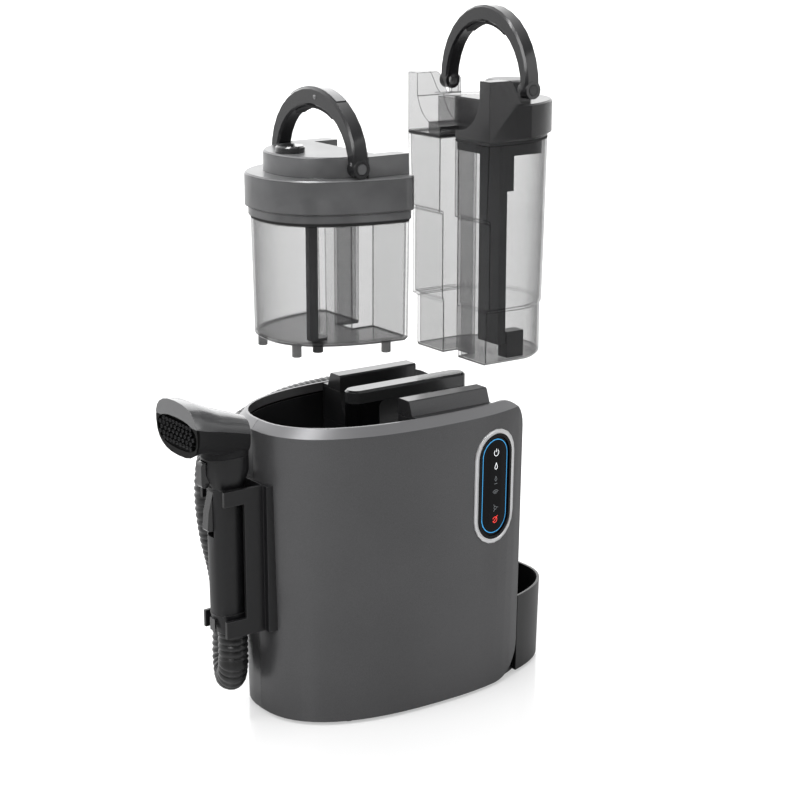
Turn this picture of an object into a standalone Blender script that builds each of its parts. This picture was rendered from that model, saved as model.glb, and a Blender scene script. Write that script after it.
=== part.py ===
"""Steam vacuum spot cleaner: a body with two lift-out tanks, a ribbed hose and a hand tool.

All lengths are in metres. The machine stands on z = 0 with its long side along X and its
control panel facing -Y. Pieces are drawn in their seated places around the middle of the
body's oval plan. Both tanks are then lifted out, and the whole machine is centred on its box.
"""

import math

import bmesh
import bpy
from mathutils import Matrix, Vector

# Fits that every piece shares
FIT = 0.0003
RUNNING_GAP = 0.0005
TANK_GAP = 0.0008
OVERRUN = 0.02
OVAL_STEPS = 48
BODY_STEPS = 60
ROUND_STEPS = 18
SMOOTH_ANGLE = math.radians(35)

# Body shell
BODY_HALF_LENGTH = 0.155
BODY_HALF_WIDTH = 0.092
OVAL_POWER = 2.45
BODY_TOP = 0.293
BODY_DRAFT = 0.0055
RIM_CHAMFER_IN = 0.007
RIM_CHAMFER_DOWN = 0.0085
RIM_LAND = 0.0025
COVER_WALL = 0.004
COVER_FOOT = 0.003
COVER_END_SHARE = 0.70323
COVER_END = COVER_END_SHARE * BODY_HALF_LENGTH
COVER_TOP_RADIUS = 0.030
COVER_FOOT_RADIUS = 0.035
SEAM_GAP = 0.0004

# Base tray and the cup that holds the lower end of the dirty tank
TRAY_FLOOR = 0.005
CUP_REACH = 0.019
CUP_HALF_LENGTH = BODY_HALF_LENGTH + CUP_REACH
CUP_HALF_WIDTH_SHARE = 0.88043
CUP_HALF_WIDTH = CUP_HALF_WIDTH_SHARE * BODY_HALF_WIDTH
CUP_TOP = 0.084
CUP_WALL = 0.0025
CUP_DRAFT = 0.002
CUP_FLOOR = 0.0322
CUP_SIDE_SHARE = 0.65761
CUP_SIDE = CUP_SIDE_SHARE * BODY_HALF_WIDTH
CUP_FLOOR_WALL = 0.004
FOOT_RADIUS = 0.007
FOOT_RECESS = 0.0017
FOOT_STEPS = 14
FOOT_X_LEFT_SHARE = -0.5871
FOOT_X_LEFT = FOOT_X_LEFT_SHARE * BODY_HALF_LENGTH
FOOT_X_RIGHT_SHARE = 0.74839
FOOT_X_RIGHT = FOOT_X_RIGHT_SHARE * BODY_HALF_LENGTH
FOOT_Y_LEFT_SHARE = 0.67391
FOOT_Y_LEFT = FOOT_Y_LEFT_SHARE * BODY_HALF_WIDTH
FOOT_Y_RIGHT_SHARE = 0.52174
FOOT_Y_RIGHT = FOOT_Y_RIGHT_SHARE * BODY_HALF_WIDTH

# Column between the tanks, with its hand well, shoulders and carry handle
COLUMN_LEFT_SHARE = -0.15161
COLUMN_LEFT = COLUMN_LEFT_SHARE * BODY_HALF_LENGTH
COLUMN_RIGHT_SHARE = 0.43871
COLUMN_RIGHT = COLUMN_RIGHT_SHARE * BODY_HALF_LENGTH
COLUMN_WALL = 0.0025
COLUMN_TOP = 0.2565
WELL_FLOOR = 0.257
DECK_TOP = 0.2897
LEDGE_TOP = 0.2925
SHOULDER_TOP = 0.306
SHOULDER_INNER_SHARE = 0.54348
SHOULDER_INNER = SHOULDER_INNER_SHARE * BODY_HALF_WIDTH
SHOULDER_OUTER_SHARE = 0.73913
SHOULDER_OUTER = SHOULDER_OUTER_SHARE * BODY_HALF_WIDTH
SHOULDER_SPREAD = 0.0045
SHOULDER_EDGE = 0.0015
WELL_HALF_FLOOR = 0.016
HANDLE_LEFT_SHARE = -0.31613
HANDLE_LEFT = HANDLE_LEFT_SHARE * BODY_HALF_LENGTH
HANDLE_RIGHT_SHARE = 0.58065
HANDLE_RIGHT = HANDLE_RIGHT_SHARE * BODY_HALF_LENGTH
HANDLE_HALF_WIDTH = 0.0105
HANDLE_BAR_HEIGHT = 0.0125
HANDLE_EDGE = 0.002
FINGER_LEFT_SHARE = -0.11613
FINGER_LEFT = FINGER_LEFT_SHARE * BODY_HALF_LENGTH
FINGER_RIGHT_SHARE = 0.38065
FINGER_RIGHT = FINGER_RIGHT_SHARE * BODY_HALF_LENGTH
FINGER_RADIUS = 0.006
GUSSET_DROP = 0.042
GUSSET_LIP = 0.010

# Bay for the clean tank
BAY_FLOOR = 0.1195
BAY_WALL = 0.0018
BAY_FLOOR_WALL = 0.0025
VALVE_INSET = 0.055
VALVE_X = VALVE_INSET - BODY_HALF_LENGTH
VALVE_Y_SHARE = -0.32609
VALVE_Y = VALVE_Y_SHARE * BODY_HALF_WIDTH
VALVE_SEAT_RADIUS = 0.0105
VALVE_SEAT_HOLE = 0.0060
VALVE_SEAT_HEIGHT = 0.0026

# Control panel
PANEL_X_SHARE = 0.42258
PANEL_X = PANEL_X_SHARE * BODY_HALF_LENGTH
PANEL_Z = 0.2116
PANEL_WIDTH = 0.0555
PANEL_HEIGHT = 0.116
PANEL_RING_WIDTH = 0.0075
PANEL_RING_PROUD = 0.0012
PANEL_RECESS = 0.0022
LIGHT_INSET = 0.0022
LIGHT_WIDTH = 0.0012
LIGHT_DEPTH = 0.0008
PANEL_END_STEPS = 10

# Clean tank, seated
CLEAN_LIFT = 0.233
CLEAN_FACE_SHARE = -0.15806
CLEAN_FACE = CLEAN_FACE_SHARE * BODY_HALF_LENGTH
CLEAN_NOTCH_SHARE = -0.32581
CLEAN_NOTCH = CLEAN_NOTCH_SHARE * BODY_HALF_LENGTH
NOTCH_HALF_WIDTH = 0.0125
CLEAN_CORNER = 0.005
CLEAN_BOTTOM = 0.134
CLEAN_LEG_BOTTOM = 0.1225
CLEAN_LEG_RADIUS = 0.0045
CLEAN_LEG_INSET = 0.020
CLEAN_SHELL_TOP = 0.2450
CLEAN_SHELL_INSET = 0.005
CLEAN_SHELL_DRAFT = 0.002
TANK_WALL = 0.002
SEAL_HEIGHT = 0.0022
CLEAN_FLANGE_TOP = 0.2566
CLEAN_FLANGE_INSET = 0.003
CLEAN_LID_TOP = 0.287
LID_EDGE = 0.0015
LID_SKIN = 0.003
COLLAR_INSET = 0.0195
COLLAR_HALF_WIDTH_SHARE = 0.63587
COLLAR_HALF_WIDTH = COLLAR_HALF_WIDTH_SHARE * BODY_HALF_WIDTH
COLLAR_OVAL_WIDTH_SHARE = 0.77174
COLLAR_OVAL_WIDTH = COLLAR_OVAL_WIDTH_SHARE * BODY_HALF_WIDTH
COLLAR_TOP = 0.306
COLLAR_RIGHT = CLEAN_NOTCH
PRONG_LEFT_SHARE = -0.46452
PRONG_LEFT = PRONG_LEFT_SHARE * BODY_HALF_LENGTH
FILLER_HOLE_RADIUS = 0.010
FILLER_INSET = 0.0465
FILLER_X = FILLER_INSET - BODY_HALF_LENGTH
CAP_HALF_LENGTH_SHARE = 0.0871
CAP_HALF_LENGTH = CAP_HALF_LENGTH_SHARE * BODY_HALF_LENGTH
CAP_HALF_WIDTH = 0.014
CAP_HEIGHT = 0.006
PICKUP_INSET = 0.0385
PICKUP_LEFT = PICKUP_INSET - BODY_HALF_LENGTH
PICKUP_WIDTH = 0.009
PICKUP_Y_SHARE = -0.43478
PICKUP_Y = PICKUP_Y_SHARE * BODY_HALF_WIDTH
PICKUP_DEPTH = 0.006
PICKUP_FOOT_GAP = 0.003
PLUNGER_RADIUS = 0.005
PLUNGER_HEAD_RADIUS = 0.009
PLUNGER_HEAD = 0.0025
PLUNGER_STEM_BOTTOM = 0.1240

# Bails of both tanks
BAIL_Z = 0.296
BAIL_HALF_DEPTH = 0.008
BAIL_FOOT_RADIUS = 0.0085
BAIL_BOSS_RADIUS = 0.0050
BAIL_STEPS = 16
BAIL_EDGE = 0.002
CLEAN_BAIL_X_SHARE = -0.50323
CLEAN_BAIL_X = CLEAN_BAIL_X_SHARE * BODY_HALF_LENGTH
CLEAN_BAIL_OUTER_SHARE = 0.77826
CLEAN_BAIL_OUTER = CLEAN_BAIL_OUTER_SHARE * BODY_HALF_WIDTH
CLEAN_BAIL_FOOT = 0.0115
CLEAN_BAIL_TOP = 0.3636
CLEAN_BAIL_CROWN = 0.0166
DIRTY_BAIL_X_SHARE = 0.76129
DIRTY_BAIL_X = DIRTY_BAIL_X_SHARE * BODY_HALF_LENGTH
DIRTY_BAIL_OUTER_SHARE = 0.75
DIRTY_BAIL_OUTER = DIRTY_BAIL_OUTER_SHARE * BODY_HALF_WIDTH
DIRTY_BAIL_FOOT = 0.0110
DIRTY_BAIL_TOP = 0.372
DIRTY_BAIL_CROWN = 0.0155
GRIP_PAD_SPAN = math.radians(64)
GRIP_PAD_DEPTH = 0.0022
GRIP_PAD_INSET = 0.003
GRIP_PAD_STEPS = 10

# Dirty tank, seated
DIRTY_LIFT = 0.291
DIRTY_FACE_SHARE = 0.44516
DIRTY_FACE = DIRTY_FACE_SHARE * BODY_HALF_LENGTH
DIRTY_NOTCH_SHARE = 0.59032
DIRTY_NOTCH = DIRTY_NOTCH_SHARE * BODY_HALF_LENGTH
DIRTY_BOTTOM = 0.033
DIRTY_STEP_LOW = 0.084
DIRTY_STEP_HIGH = 0.1716
DIRTY_STEP_RUN = 0.002
DIRTY_LOW_FACE_SHARE = 0.48065
DIRTY_LOW_FACE = DIRTY_LOW_FACE_SHARE * BODY_HALF_LENGTH
DIRTY_MID_FACE_SHARE = 0.47097
DIRTY_MID_FACE = DIRTY_MID_FACE_SHARE * BODY_HALF_LENGTH
DIRTY_LOW_SIDE_SHARE = 0.61413
DIRTY_LOW_SIDE = DIRTY_LOW_SIDE_SHARE * BODY_HALF_WIDTH
DIRTY_MID_SIDE_SHARE = 0.68478
DIRTY_MID_SIDE = DIRTY_MID_SIDE_SHARE * BODY_HALF_WIDTH
DIRTY_TOP_SIDE_SHARE = 0.71196
DIRTY_TOP_SIDE = DIRTY_TOP_SIDE_SHARE * BODY_HALF_WIDTH
DIRTY_LOW_INSET = 0.0050
DIRTY_MID_INSET = 0.0035
DIRTY_TOP_INSET = 0.0005
DIRTY_SHELL_TOP = 0.2462
DIRTY_LID_TOP = 0.2835
DIRTY_LID_PROUD = 0.0038
DIRTY_FLANGE_HEIGHT = 0.0035
DIRTY_FLARE_START_SHARE = 0.71935
DIRTY_FLARE_START = DIRTY_FLARE_START_SHARE * BODY_HALF_LENGTH
DIRTY_FLARE_RUN = 0.012
EAR_LENGTH_SHARE = 0.15484
EAR_LENGTH = EAR_LENGTH_SHARE * BODY_HALF_LENGTH
EAR_SLOPE_SHARE = 0.10323
EAR_SLOPE = EAR_SLOPE_SHARE * BODY_HALF_LENGTH
SADDLE_END_SHARE = 0.64839
SADDLE_END = SADDLE_END_SHARE * BODY_HALF_LENGTH
DIRTY_CAP_X_SHARE = 0.91613
DIRTY_CAP_X = DIRTY_CAP_X_SHARE * BODY_HALF_LENGTH
DIRTY_CAP_RADIUS = 0.023
DIRTY_CAP_HEIGHT = 0.0165
DIRTY_CAP_RIBS = 14
DIRTY_CAP_RIB = 0.0012
LUG_THICKNESS = 0.005
LUG_HALF_WIDTH = 0.0060
SEPARATOR_LEFT_SHARE = 0.68387
SEPARATOR_LEFT = SEPARATOR_LEFT_SHARE * BODY_HALF_LENGTH
SEPARATOR_RIGHT_SHARE = 1.01935
SEPARATOR_RIGHT = SEPARATOR_RIGHT_SHARE * BODY_HALF_LENGTH
SEPARATOR_HALF_WIDTH_SHARE = 0.36957
SEPARATOR_HALF_WIDTH = SEPARATOR_HALF_WIDTH_SHARE * BODY_HALF_WIDTH
SEPARATOR_BOTTOM = 0.230
SEPARATOR_TAB_BOTTOM = 0.196
SEPARATOR_TAB_WIDTH = 0.018
SEPARATOR_TAB_DEPTH = 0.003
FLOAT_X_SHARE = 0.95484
FLOAT_X = FLOAT_X_SHARE * BODY_HALF_LENGTH
FLOAT_Y_SHARE = 0.15217
FLOAT_Y = FLOAT_Y_SHARE * BODY_HALF_WIDTH
FLOAT_STEM_RADIUS = 0.0025
FLOAT_FOOT_RADIUS = 0.0050
FLOAT_HANG = 0.042
FLOAT_FOOT_BOTTOM = SEPARATOR_BOTTOM - FLOAT_HANG
FLOAT_FOOT_HEIGHT = 0.002
FLOAT_RADIUS = 0.0095
FLOAT_HEIGHT = 0.024
DUCT_LEFT_SHARE = 0.60968
DUCT_LEFT = DUCT_LEFT_SHARE * BODY_HALF_LENGTH
DUCT_RIGHT_SHARE = 0.66774
DUCT_RIGHT = DUCT_RIGHT_SHARE * BODY_HALF_LENGTH
DUCT_FRONT_SHARE = -0.54348
DUCT_FRONT = DUCT_FRONT_SHARE * BODY_HALF_WIDTH
DUCT_BACK_SHARE = -0.19565
DUCT_BACK = DUCT_BACK_SHARE * BODY_HALF_WIDTH
DUCT_WALL = 0.0015
DUCT_BOTTOM = 0.050
VALVE_BOX_LEFT_SHARE = 0.68387
VALVE_BOX_LEFT = VALVE_BOX_LEFT_SHARE * BODY_HALF_LENGTH
VALVE_BOX_WIDTH = 0.020
VALVE_BOX_FRONT_SHARE = -0.54348
VALVE_BOX_FRONT = VALVE_BOX_FRONT_SHARE * BODY_HALF_WIDTH
VALVE_BOX_DEPTH = 0.014
VALVE_BOX_HEIGHT = 0.026

# Cradle for the hand tool
CRADLE_BOTTOM = 0.0925
CRADLE_TOP = 0.236
CRADLE_INNER = 0.0185
CRADLE_PLATE = 0.0035
CRADLE_PAD_HALF_WIDTH = 0.0285
CRADLE_PAD_REACH = 0.002
CRADLE_PAD_LEFT = -BODY_HALF_LENGTH - CRADLE_PAD_REACH
CRADLE_STRIP_REACH = 0.022
CRADLE_STRIP_LEFT = -BODY_HALF_LENGTH - CRADLE_STRIP_REACH
CRADLE_ARM_REACH = 0.0435
CRADLE_ARM_LEFT = -BODY_HALF_LENGTH - CRADLE_ARM_REACH
CRADLE_TOP_ARM = 0.0145
CRADLE_BOTTOM_ARM = 0.0165
CRADLE_RIB_REACH = 0.038
CRADLE_RIB_LEFT = -BODY_HALF_LENGTH - CRADLE_RIB_REACH
CRADLE_RIB_RIGHT_REACH = 0.021
CRADLE_RIB_RIGHT = -BODY_HALF_LENGTH - CRADLE_RIB_RIGHT_REACH

# Hand tool
TOOL_REACH = 0.0295
TOOL_X = -BODY_HALF_LENGTH - TOOL_REACH
CUFF_BOTTOM = 0.0920
CUFF_TOP = 0.1120
CUFF_RADIUS = 0.0165
GRIP_TOP = 0.235
GRIP_HALF_DEPTH = 0.0160
GRIP_HALF_WIDTH = 0.0145
GRIP_BULGE = 0.0010
NECK_TOP = 0.2650
NECK_HALF_DEPTH = 0.0225
NECK_HALF_WIDTH = 0.0165
TOOL_STEPS = 24
TOOL_POWER = 2.6
FACE_REACH = 0.0785
FACE_X = -BODY_HALF_LENGTH - FACE_REACH
FACE_Z = 0.2985
FACE_HALF_HEIGHT = 0.0260
FACE_HALF_WIDTH = 0.0390
FACE_TILT = math.radians(3)
FACE_EDGE = 0.0020
BRUSH_DROP = 0.0045
BRUSH_HALF_HEIGHT = 0.0150
BRUSH_HALF_WIDTH = 0.0362
BRUSH_CLEARANCE = 0.0008
BRUSH_ROW_SHARE = 0.92
BRUSH_POCKET = 0.0055
HEAD_SHOULDER_BACK = 0.012
HEAD_MID_REACH = 0.043
HEAD_MID_X = -BODY_HALF_LENGTH - HEAD_MID_REACH
HEAD_MID_Z = 0.2902
HEAD_MID_HALF_HEIGHT = 0.0217
HEAD_MID_HALF_WIDTH = 0.0265
HEAD_END_REACH = 0.0105
HEAD_END_X = -BODY_HALF_LENGTH - HEAD_END_REACH
HEAD_END_Z = 0.2831
HEAD_END_HALF_HEIGHT = 0.0174
HEAD_END_HALF_WIDTH = 0.0165
HEAD_SPLIT_REACH = 0.0785
HEAD_SPLIT_X = -BODY_HALF_LENGTH - HEAD_SPLIT_REACH
HEAD_SPLIT_Z = 0.3050
HEAD_SPLIT_DROP = 0.0185
HEAD_SPLIT_RUN = 0.064
HEAD_SOCKET_TOP = 0.278
BRUSH_ROWS = 15
BRUSH_COLUMNS = 20
BRUSH_BASE = 0.0022
BRISTLE_LENGTH = 0.0065
TRIGGER_HALF_WIDTH = 0.0050
TRIGGER_TOP = 0.2325
TRIGGER_BOTTOM = 0.195
TRIGGER_ROOT_REACH = 0.039
TRIGGER_ROOT_X = -BODY_HALF_LENGTH - TRIGGER_ROOT_REACH
TRIGGER_TIP_REACH = 0.052
TRIGGER_TIP_X = -BODY_HALF_LENGTH - TRIGGER_TIP_REACH
TRIGGER_THICKNESS = 0.0065
TRIGGER_PIVOT_Z = 0.2275
TRIGGER_PIVOT_REACH = 0.0415
TRIGGER_PIVOT_X = -BODY_HALF_LENGTH - TRIGGER_PIVOT_REACH
TRIGGER_SLOT_GAP = 0.0006
LEVER_HALF_WIDTH = 0.0048
LEVER_TOP = 0.2625
LEVER_BOTTOM = 0.2375
LEVER_REACH = 0.057
LEVER_LEFT = -BODY_HALF_LENGTH - LEVER_REACH
LEVER_THICKNESS = 0.0085
LEVER_POCKET = 0.0030
LEVER_PIVOT_REACH = 0.0505
LEVER_PIVOT_X = -BODY_HALF_LENGTH - LEVER_PIVOT_REACH
PIN_RADIUS = 0.00125
PIN_STEPS = 10
LATCH_BOTTOM = 0.0955
LATCH_TOP = 0.1075
LATCH_PROUD = 0.0008
LATCH_HALF_WIDTH = 0.0045

# Ribbed hose, its port and hooks
HOSE_DIAMETER = 0.029
HOSE_RIB_DEPTH = 0.0014
HOSE_WALL = 0.0028
HOSE_PITCH = 0.0062
HOSE_BORE_PITCH = 0.020
HOSE_RIBS_MOST = 200
HOSE_REACH = 0.025
HOSE_X = -BODY_HALF_LENGTH - HOSE_REACH
PORT_X_SHARE = -0.32258
PORT_X = PORT_X_SHARE * BODY_HALF_LENGTH
PORT_STANDOFF = 0.020
PORT_Y = BODY_HALF_WIDTH + PORT_STANDOFF
PORT_MOUTH_Z = 0.150
PORT_RADIUS = 0.0175
PORT_SLEEVE = 0.018
PORT_Z = 0.176
HOOK_WIDTH = 0.022
HOOK_THICKNESS = 0.004
HOOK_LIP = 0.012
UPPER_HOOK_X_SHARE = 0.03871
UPPER_HOOK_X = UPPER_HOOK_X_SHARE * BODY_HALF_LENGTH
UPPER_HOOK_Z = 0.2590
LOWER_HOOK_X_SHARE = 0.19355
LOWER_HOOK_X = LOWER_HOOK_X_SHARE * BODY_HALF_LENGTH
LOWER_HOOK_Z = 0.0650
HOOK_STANDOFF = 0.0365
HOOK_REACH = BODY_HALF_WIDTH + HOOK_STANDOFF

# Route of the hose, from the hand tool's cuff to the port behind the body, drawn for a body of this size
ROUTE_HALF_LENGTH = 0.155
ROUTE_HALF_WIDTH = 0.092
HOSE_ROUTE = (
    (-0.1800, 0.0000, 0.0917),
    (-0.1800, 0.0000, 0.0760),
    (-0.1800, 0.0000, 0.0627),
    (-0.1800, 0.0000, 0.0610),
    (-0.1775, 0.0075, 0.0440),
    (-0.1720, 0.0225, 0.0370),
    (-0.1650, 0.0385, 0.0490),
    (-0.1595, 0.0470, 0.0760),
    (-0.1590, 0.0480, 0.1050),
    (-0.1640, 0.0470, 0.1380),
    (-0.1715, 0.0460, 0.1700),
    (-0.1750, 0.0470, 0.2000),
    (-0.1710, 0.0540, 0.2260),
    (-0.1560, 0.0720, 0.2420),
    (-0.1290, 0.0920, 0.2500),
    (-0.0950, 0.1060, 0.2590),
    (-0.0550, 0.1115, 0.2690),
    (-0.0150, 0.1120, 0.2735),
    (0.0260, 0.1120, 0.2725),
    (0.0640, 0.1110, 0.2580),
    (0.0950, 0.1080, 0.2310),
    (0.1120, 0.1050, 0.1930),
    (0.1130, 0.1050, 0.1530),
    (0.0990, 0.1080, 0.1150),
    (0.0700, 0.1120, 0.0880),
    (0.0330, 0.1130, 0.0795),
    (-0.0040, 0.1130, 0.0820),
    (-0.0330, 0.1130, 0.0960),
    (-0.0495, 0.1120, 0.1110),
    (-0.0500, 0.1120, 0.1190),
    (-0.0500, 0.1120, 0.1207),
    (-0.0500, 0.1120, 0.1350),
    (-0.0500, 0.1120, 0.1497),
)

# Mains gland and exhaust grille on the back
GLAND_X_SHARE = 0.48387
GLAND_X = GLAND_X_SHARE * BODY_HALF_LENGTH
GLAND_Z = 0.040
GLAND_RADIUS = 0.0075
GLAND_HOLE = 0.0035
GLAND_PROUD = 0.006
GRILLE_X_SHARE = 0.06452
GRILLE_X = GRILLE_X_SHARE * BODY_HALF_LENGTH
GRILLE_Z = 0.195
GRILLE_HALF_WIDTH = 0.036
GRILLE_HALF_HEIGHT = 0.022
GRILLE_SLOTS = 8
GRILLE_SLOT_SHARE = 0.5
GRILLE_MARGIN = 0.004
GRILLE_THICKNESS = 0.0030
GRILLE_SUNK = 0.0006

# Pieces inside the body
MOTOR_X = (COLUMN_LEFT + COLUMN_RIGHT) / 2
MOTOR_ROOM = 0.00975
MOTOR_RADIUS = (COLUMN_RIGHT - COLUMN_LEFT) / 2 - MOTOR_ROOM
MOTOR_BOTTOM = 0.026
MOTOR_TOP = 0.104
MOTOR_LEDGE = 0.006
MOTOR_FOOT_RADIUS = MOTOR_RADIUS - MOTOR_LEDGE
SHAFT_RADIUS = 0.0035
SHAFT_TOP = 0.126
FAN_STEP = 0.002
FAN_RADIUS = MOTOR_RADIUS - FAN_STEP
FAN_HUB_RADIUS = 0.009
FAN_BOTTOM = 0.108
FAN_PLATE = 0.0015
FAN_BLADE_HEIGHT = 0.010
FAN_BLADE_WIDTH = 0.0016
FAN_BLADES = 9
HOUSING_OVERHANG = 0.0025
HOUSING_RADIUS = MOTOR_RADIUS + HOUSING_OVERHANG
HOUSING_WALL = 0.002
HOUSING_TOP = 0.132
HOUSING_INLET = 0.020
DUCT_PIPE_RADIUS = 0.024
DUCT_PIPE_TOP = 0.225
BOILER_X_SHARE = -0.54194
BOILER_X = BOILER_X_SHARE * BODY_HALF_LENGTH
BOILER_Y_SHARE = 0.28261
BOILER_Y = BOILER_Y_SHARE * BODY_HALF_WIDTH
BOILER_RADIUS = 0.030
BOILER_HALF_LENGTH_SHARE = 0.23226
BOILER_HALF_LENGTH = BOILER_HALF_LENGTH_SHARE * BODY_HALF_LENGTH
BOILER_Z = 0.0465
BOILER_FOOT = 0.010
PUMP_X_SHARE = -0.59355
PUMP_X = PUMP_X_SHARE * BODY_HALF_LENGTH
PUMP_Y_SHARE = -0.36957
PUMP_Y = PUMP_Y_SHARE * BODY_HALF_WIDTH
PUMP_LENGTH_SHARE = 0.37419
PUMP_LENGTH = PUMP_LENGTH_SHARE * BODY_HALF_LENGTH
PUMP_WIDTH = 0.034
PUMP_HEIGHT = 0.036
PUMP_COIL_RADIUS = 0.014
PUMP_COIL_HEIGHT = 0.018
BOARD_X_SHARE = -0.23226
BOARD_X = BOARD_X_SHARE * BODY_HALF_LENGTH
BOARD_THICKNESS = 0.0016
BOARD_HALF_WIDTH_SHARE = 0.56522
BOARD_HALF_WIDTH = BOARD_HALF_WIDTH_SHARE * BODY_HALF_WIDTH
BOARD_HEIGHT = 0.082
CHIP_DEPTH = 0.008
CHIP_SHARE = 0.5

# Finishes: colour, roughness, metallic value, opacity
FINISHES = {
    "graphite": ((0.075, 0.078, 0.080), 0.42, 0.55, 1.0),
    "silver": ((0.55, 0.56, 0.57), 0.30, 0.60, 1.0),
    "lid_grey": ((0.20, 0.205, 0.21), 0.30, 0.60, 1.0),
    "black": ((0.014, 0.014, 0.015), 0.45, 0.0, 1.0),
    "gloss_black": ((0.008, 0.008, 0.009), 0.12, 0.0, 1.0),
    "smoke": ((0.30, 0.31, 0.32), 0.08, 0.0, 0.35),
    "rubber": ((0.020, 0.020, 0.021), 0.75, 0.0, 1.0),
    "light_blue": ((0.05, 0.35, 0.85), 0.35, 0.0, 1.0),
    "steel": ((0.60, 0.60, 0.60), 0.30, 1.0, 1.0),
    "board_green": ((0.03, 0.16, 0.07), 0.50, 0.0, 1.0),
    "white_float": ((0.80, 0.80, 0.80), 0.50, 0.0, 1.0),
}


# Scene helpers


def clear_scene():
    for old in list(bpy.data.objects):
        bpy.data.objects.remove(old, do_unlink=True)


def material_for(name, finish):
    """A Principled material for one piece, from the finish table."""
    colour, roughness, metallic, opacity = FINISHES[finish]
    made = bpy.data.materials.new(name + "_" + finish)
    made.use_nodes = True
    shader = made.node_tree.nodes["Principled BSDF"]
    shader.inputs["Base Color"].default_value = (*colour, 1.0)
    shader.inputs["Roughness"].default_value = roughness
    shader.inputs["Metallic"].default_value = metallic
    shader.inputs["Alpha"].default_value = opacity
    return made


def body_from(name, vertices, faces):
    """One mesh object with its faces pointing out."""
    mesh = bpy.data.meshes.new(name)
    mesh.from_pydata([tuple(v) for v in vertices], [], faces)
    work = bmesh.new()
    work.from_mesh(mesh)
    bmesh.ops.recalc_face_normals(work, faces=work.faces)
    work.to_mesh(mesh)
    work.free()
    made = bpy.data.objects.new(name, mesh)
    bpy.context.scene.collection.objects.link(made)
    return made


def joint_empty(name, place, parent=None):
    """An empty on a joint's axis, which carries the pieces that move with it."""
    made = bpy.data.objects.new(name, None)
    made.empty_display_size = BODY_DRAFT
    bpy.context.scene.collection.objects.link(made)
    made.location = place
    if parent:
        bpy.context.view_layer.update()
        made.parent = parent
        made.matrix_parent_inverse = parent.matrix_world.inverted()
    return made


def with_cutters(piece):
    """A piece, its Boolean helpers and theirs in turn."""
    family = [piece]
    for modifier in piece.modifiers:
        if modifier.type == "BOOLEAN":
            family += with_cutters(modifier.object)
    return family


def adopt(parent, *pieces):
    """Hang pieces on an empty without moving them, with their cutters."""
    bpy.context.view_layer.update()
    for piece in pieces:
        for member in with_cutters(piece):
            if member.parent is None:
                member.parent = parent
                member.matrix_parent_inverse = parent.matrix_world.inverted()


def finish_piece(piece, finish):
    """Give a piece its material and smooth shading."""
    piece.data.materials.clear()
    piece.data.materials.append(material_for(piece.name, finish))
    piece.data.shade_smooth()
    piece.data.set_sharp_from_angle(angle=SMOOTH_ANGLE)
    return piece


def combine(target, operation, others):
    """Live EXACT Booleans; the other shapes are helpers and stay out of the model."""
    for other in others:
        modifier = target.modifiers.new(other.name, "BOOLEAN")
        modifier.operation = operation
        modifier.solver = "EXACT"
        modifier.object = other
        other.hide_render = True
        other.display_type = "WIRE"
    return target


def cut(target, *others):
    return combine(target, "DIFFERENCE", others)


def fuse(target, *others):
    return combine(target, "UNION", others)


def keep(target, *others):
    return combine(target, "INTERSECT", others)


# Shape helpers


def loft(name, rings):
    """A closed body through rings of equally many points, with flat ends."""
    count = len(rings[0])
    vertices = [point for ring in rings for point in ring]
    faces = []
    for level in range(len(rings) - 1):
        low = level * count
        for i in range(count):
            j = (i + 1) % count
            faces.append((low + i, low + j, low + count + j, low + count + i))
    faces.append(tuple(reversed(range(count))))
    faces.append(tuple(range(len(vertices) - count, len(vertices))))
    return body_from(name, vertices, faces)


def hoop(name, rings):
    """A closed band through rings, the last joined to the first."""
    count = len(rings[0])
    total = count * len(rings)
    vertices = [point for ring in rings for point in ring]
    faces = []
    for level in range(len(rings)):
        low = level * count
        high = (low + count) % total
        for i in range(count):
            j = (i + 1) % count
            faces.append((low + i, low + j, high + j, high + i))
    return body_from(name, vertices, faces)


def at_height(outline, z):
    return [(x, y, z) for x, y in outline]


def slab(name, outline, low, high):
    """A flat plate with an outline in plan."""
    return loft(name, [at_height(outline, low), at_height(outline, high)])


def side_slab(name, outline, near, far):
    """A plate with an outline in side view, as (x, z), running along Y."""
    return loft(name, [[(x, y, z) for x, z in outline] for y in (near, far)])


def end_slab(name, outline, left, right):
    """A plate with an outline in end view, as (y, z), running along X."""
    return loft(name, [[(x, y, z) for y, z in outline] for x in (left, right)])


def block(name, low, high):
    (x0, y0, z0), (x1, y1, z1) = low, high
    return slab(name, [(x0, y0), (x1, y0), (x1, y1), (x0, y1)], z0, z1)


def circle(x, y, radius, steps=ROUND_STEPS):
    turns = [2 * math.pi * i / steps for i in range(steps)]
    return [(x + radius * math.cos(t), y + radius * math.sin(t)) for t in turns]


def turned(name, x, y, profile, steps=ROUND_STEPS):
    """A round body about a vertical axis, from (radius, height) pairs."""
    return loft(name, [at_height(circle(x, y, r, steps), z) for r, z in profile])


def turned_hoop(name, x, y, profile, steps=ROUND_STEPS):
    return hoop(name, [at_height(circle(x, y, r, steps), z) for r, z in profile])


def oval_half_width(x, half_length, half_width):
    """Half the oval's width at a place along its length."""
    share = min(abs(x) / half_length, 1.0)
    return half_width * (1.0 - share**OVAL_POWER) ** (1.0 / OVAL_POWER)


def oval(half_length, half_width, steps=OVAL_STEPS, power=OVAL_POWER):
    """Points round a superellipse, anticlockwise from its right end."""
    points = []
    for i in range(steps):
        turn = 2 * math.pi * i / steps
        c, s = math.cos(turn), math.sin(turn)
        x = half_length * math.copysign(abs(c) ** (2 / power), c)
        y = half_width * math.copysign(abs(s) ** (2 / power), s)
        points.append((x, y))
    return points


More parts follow.
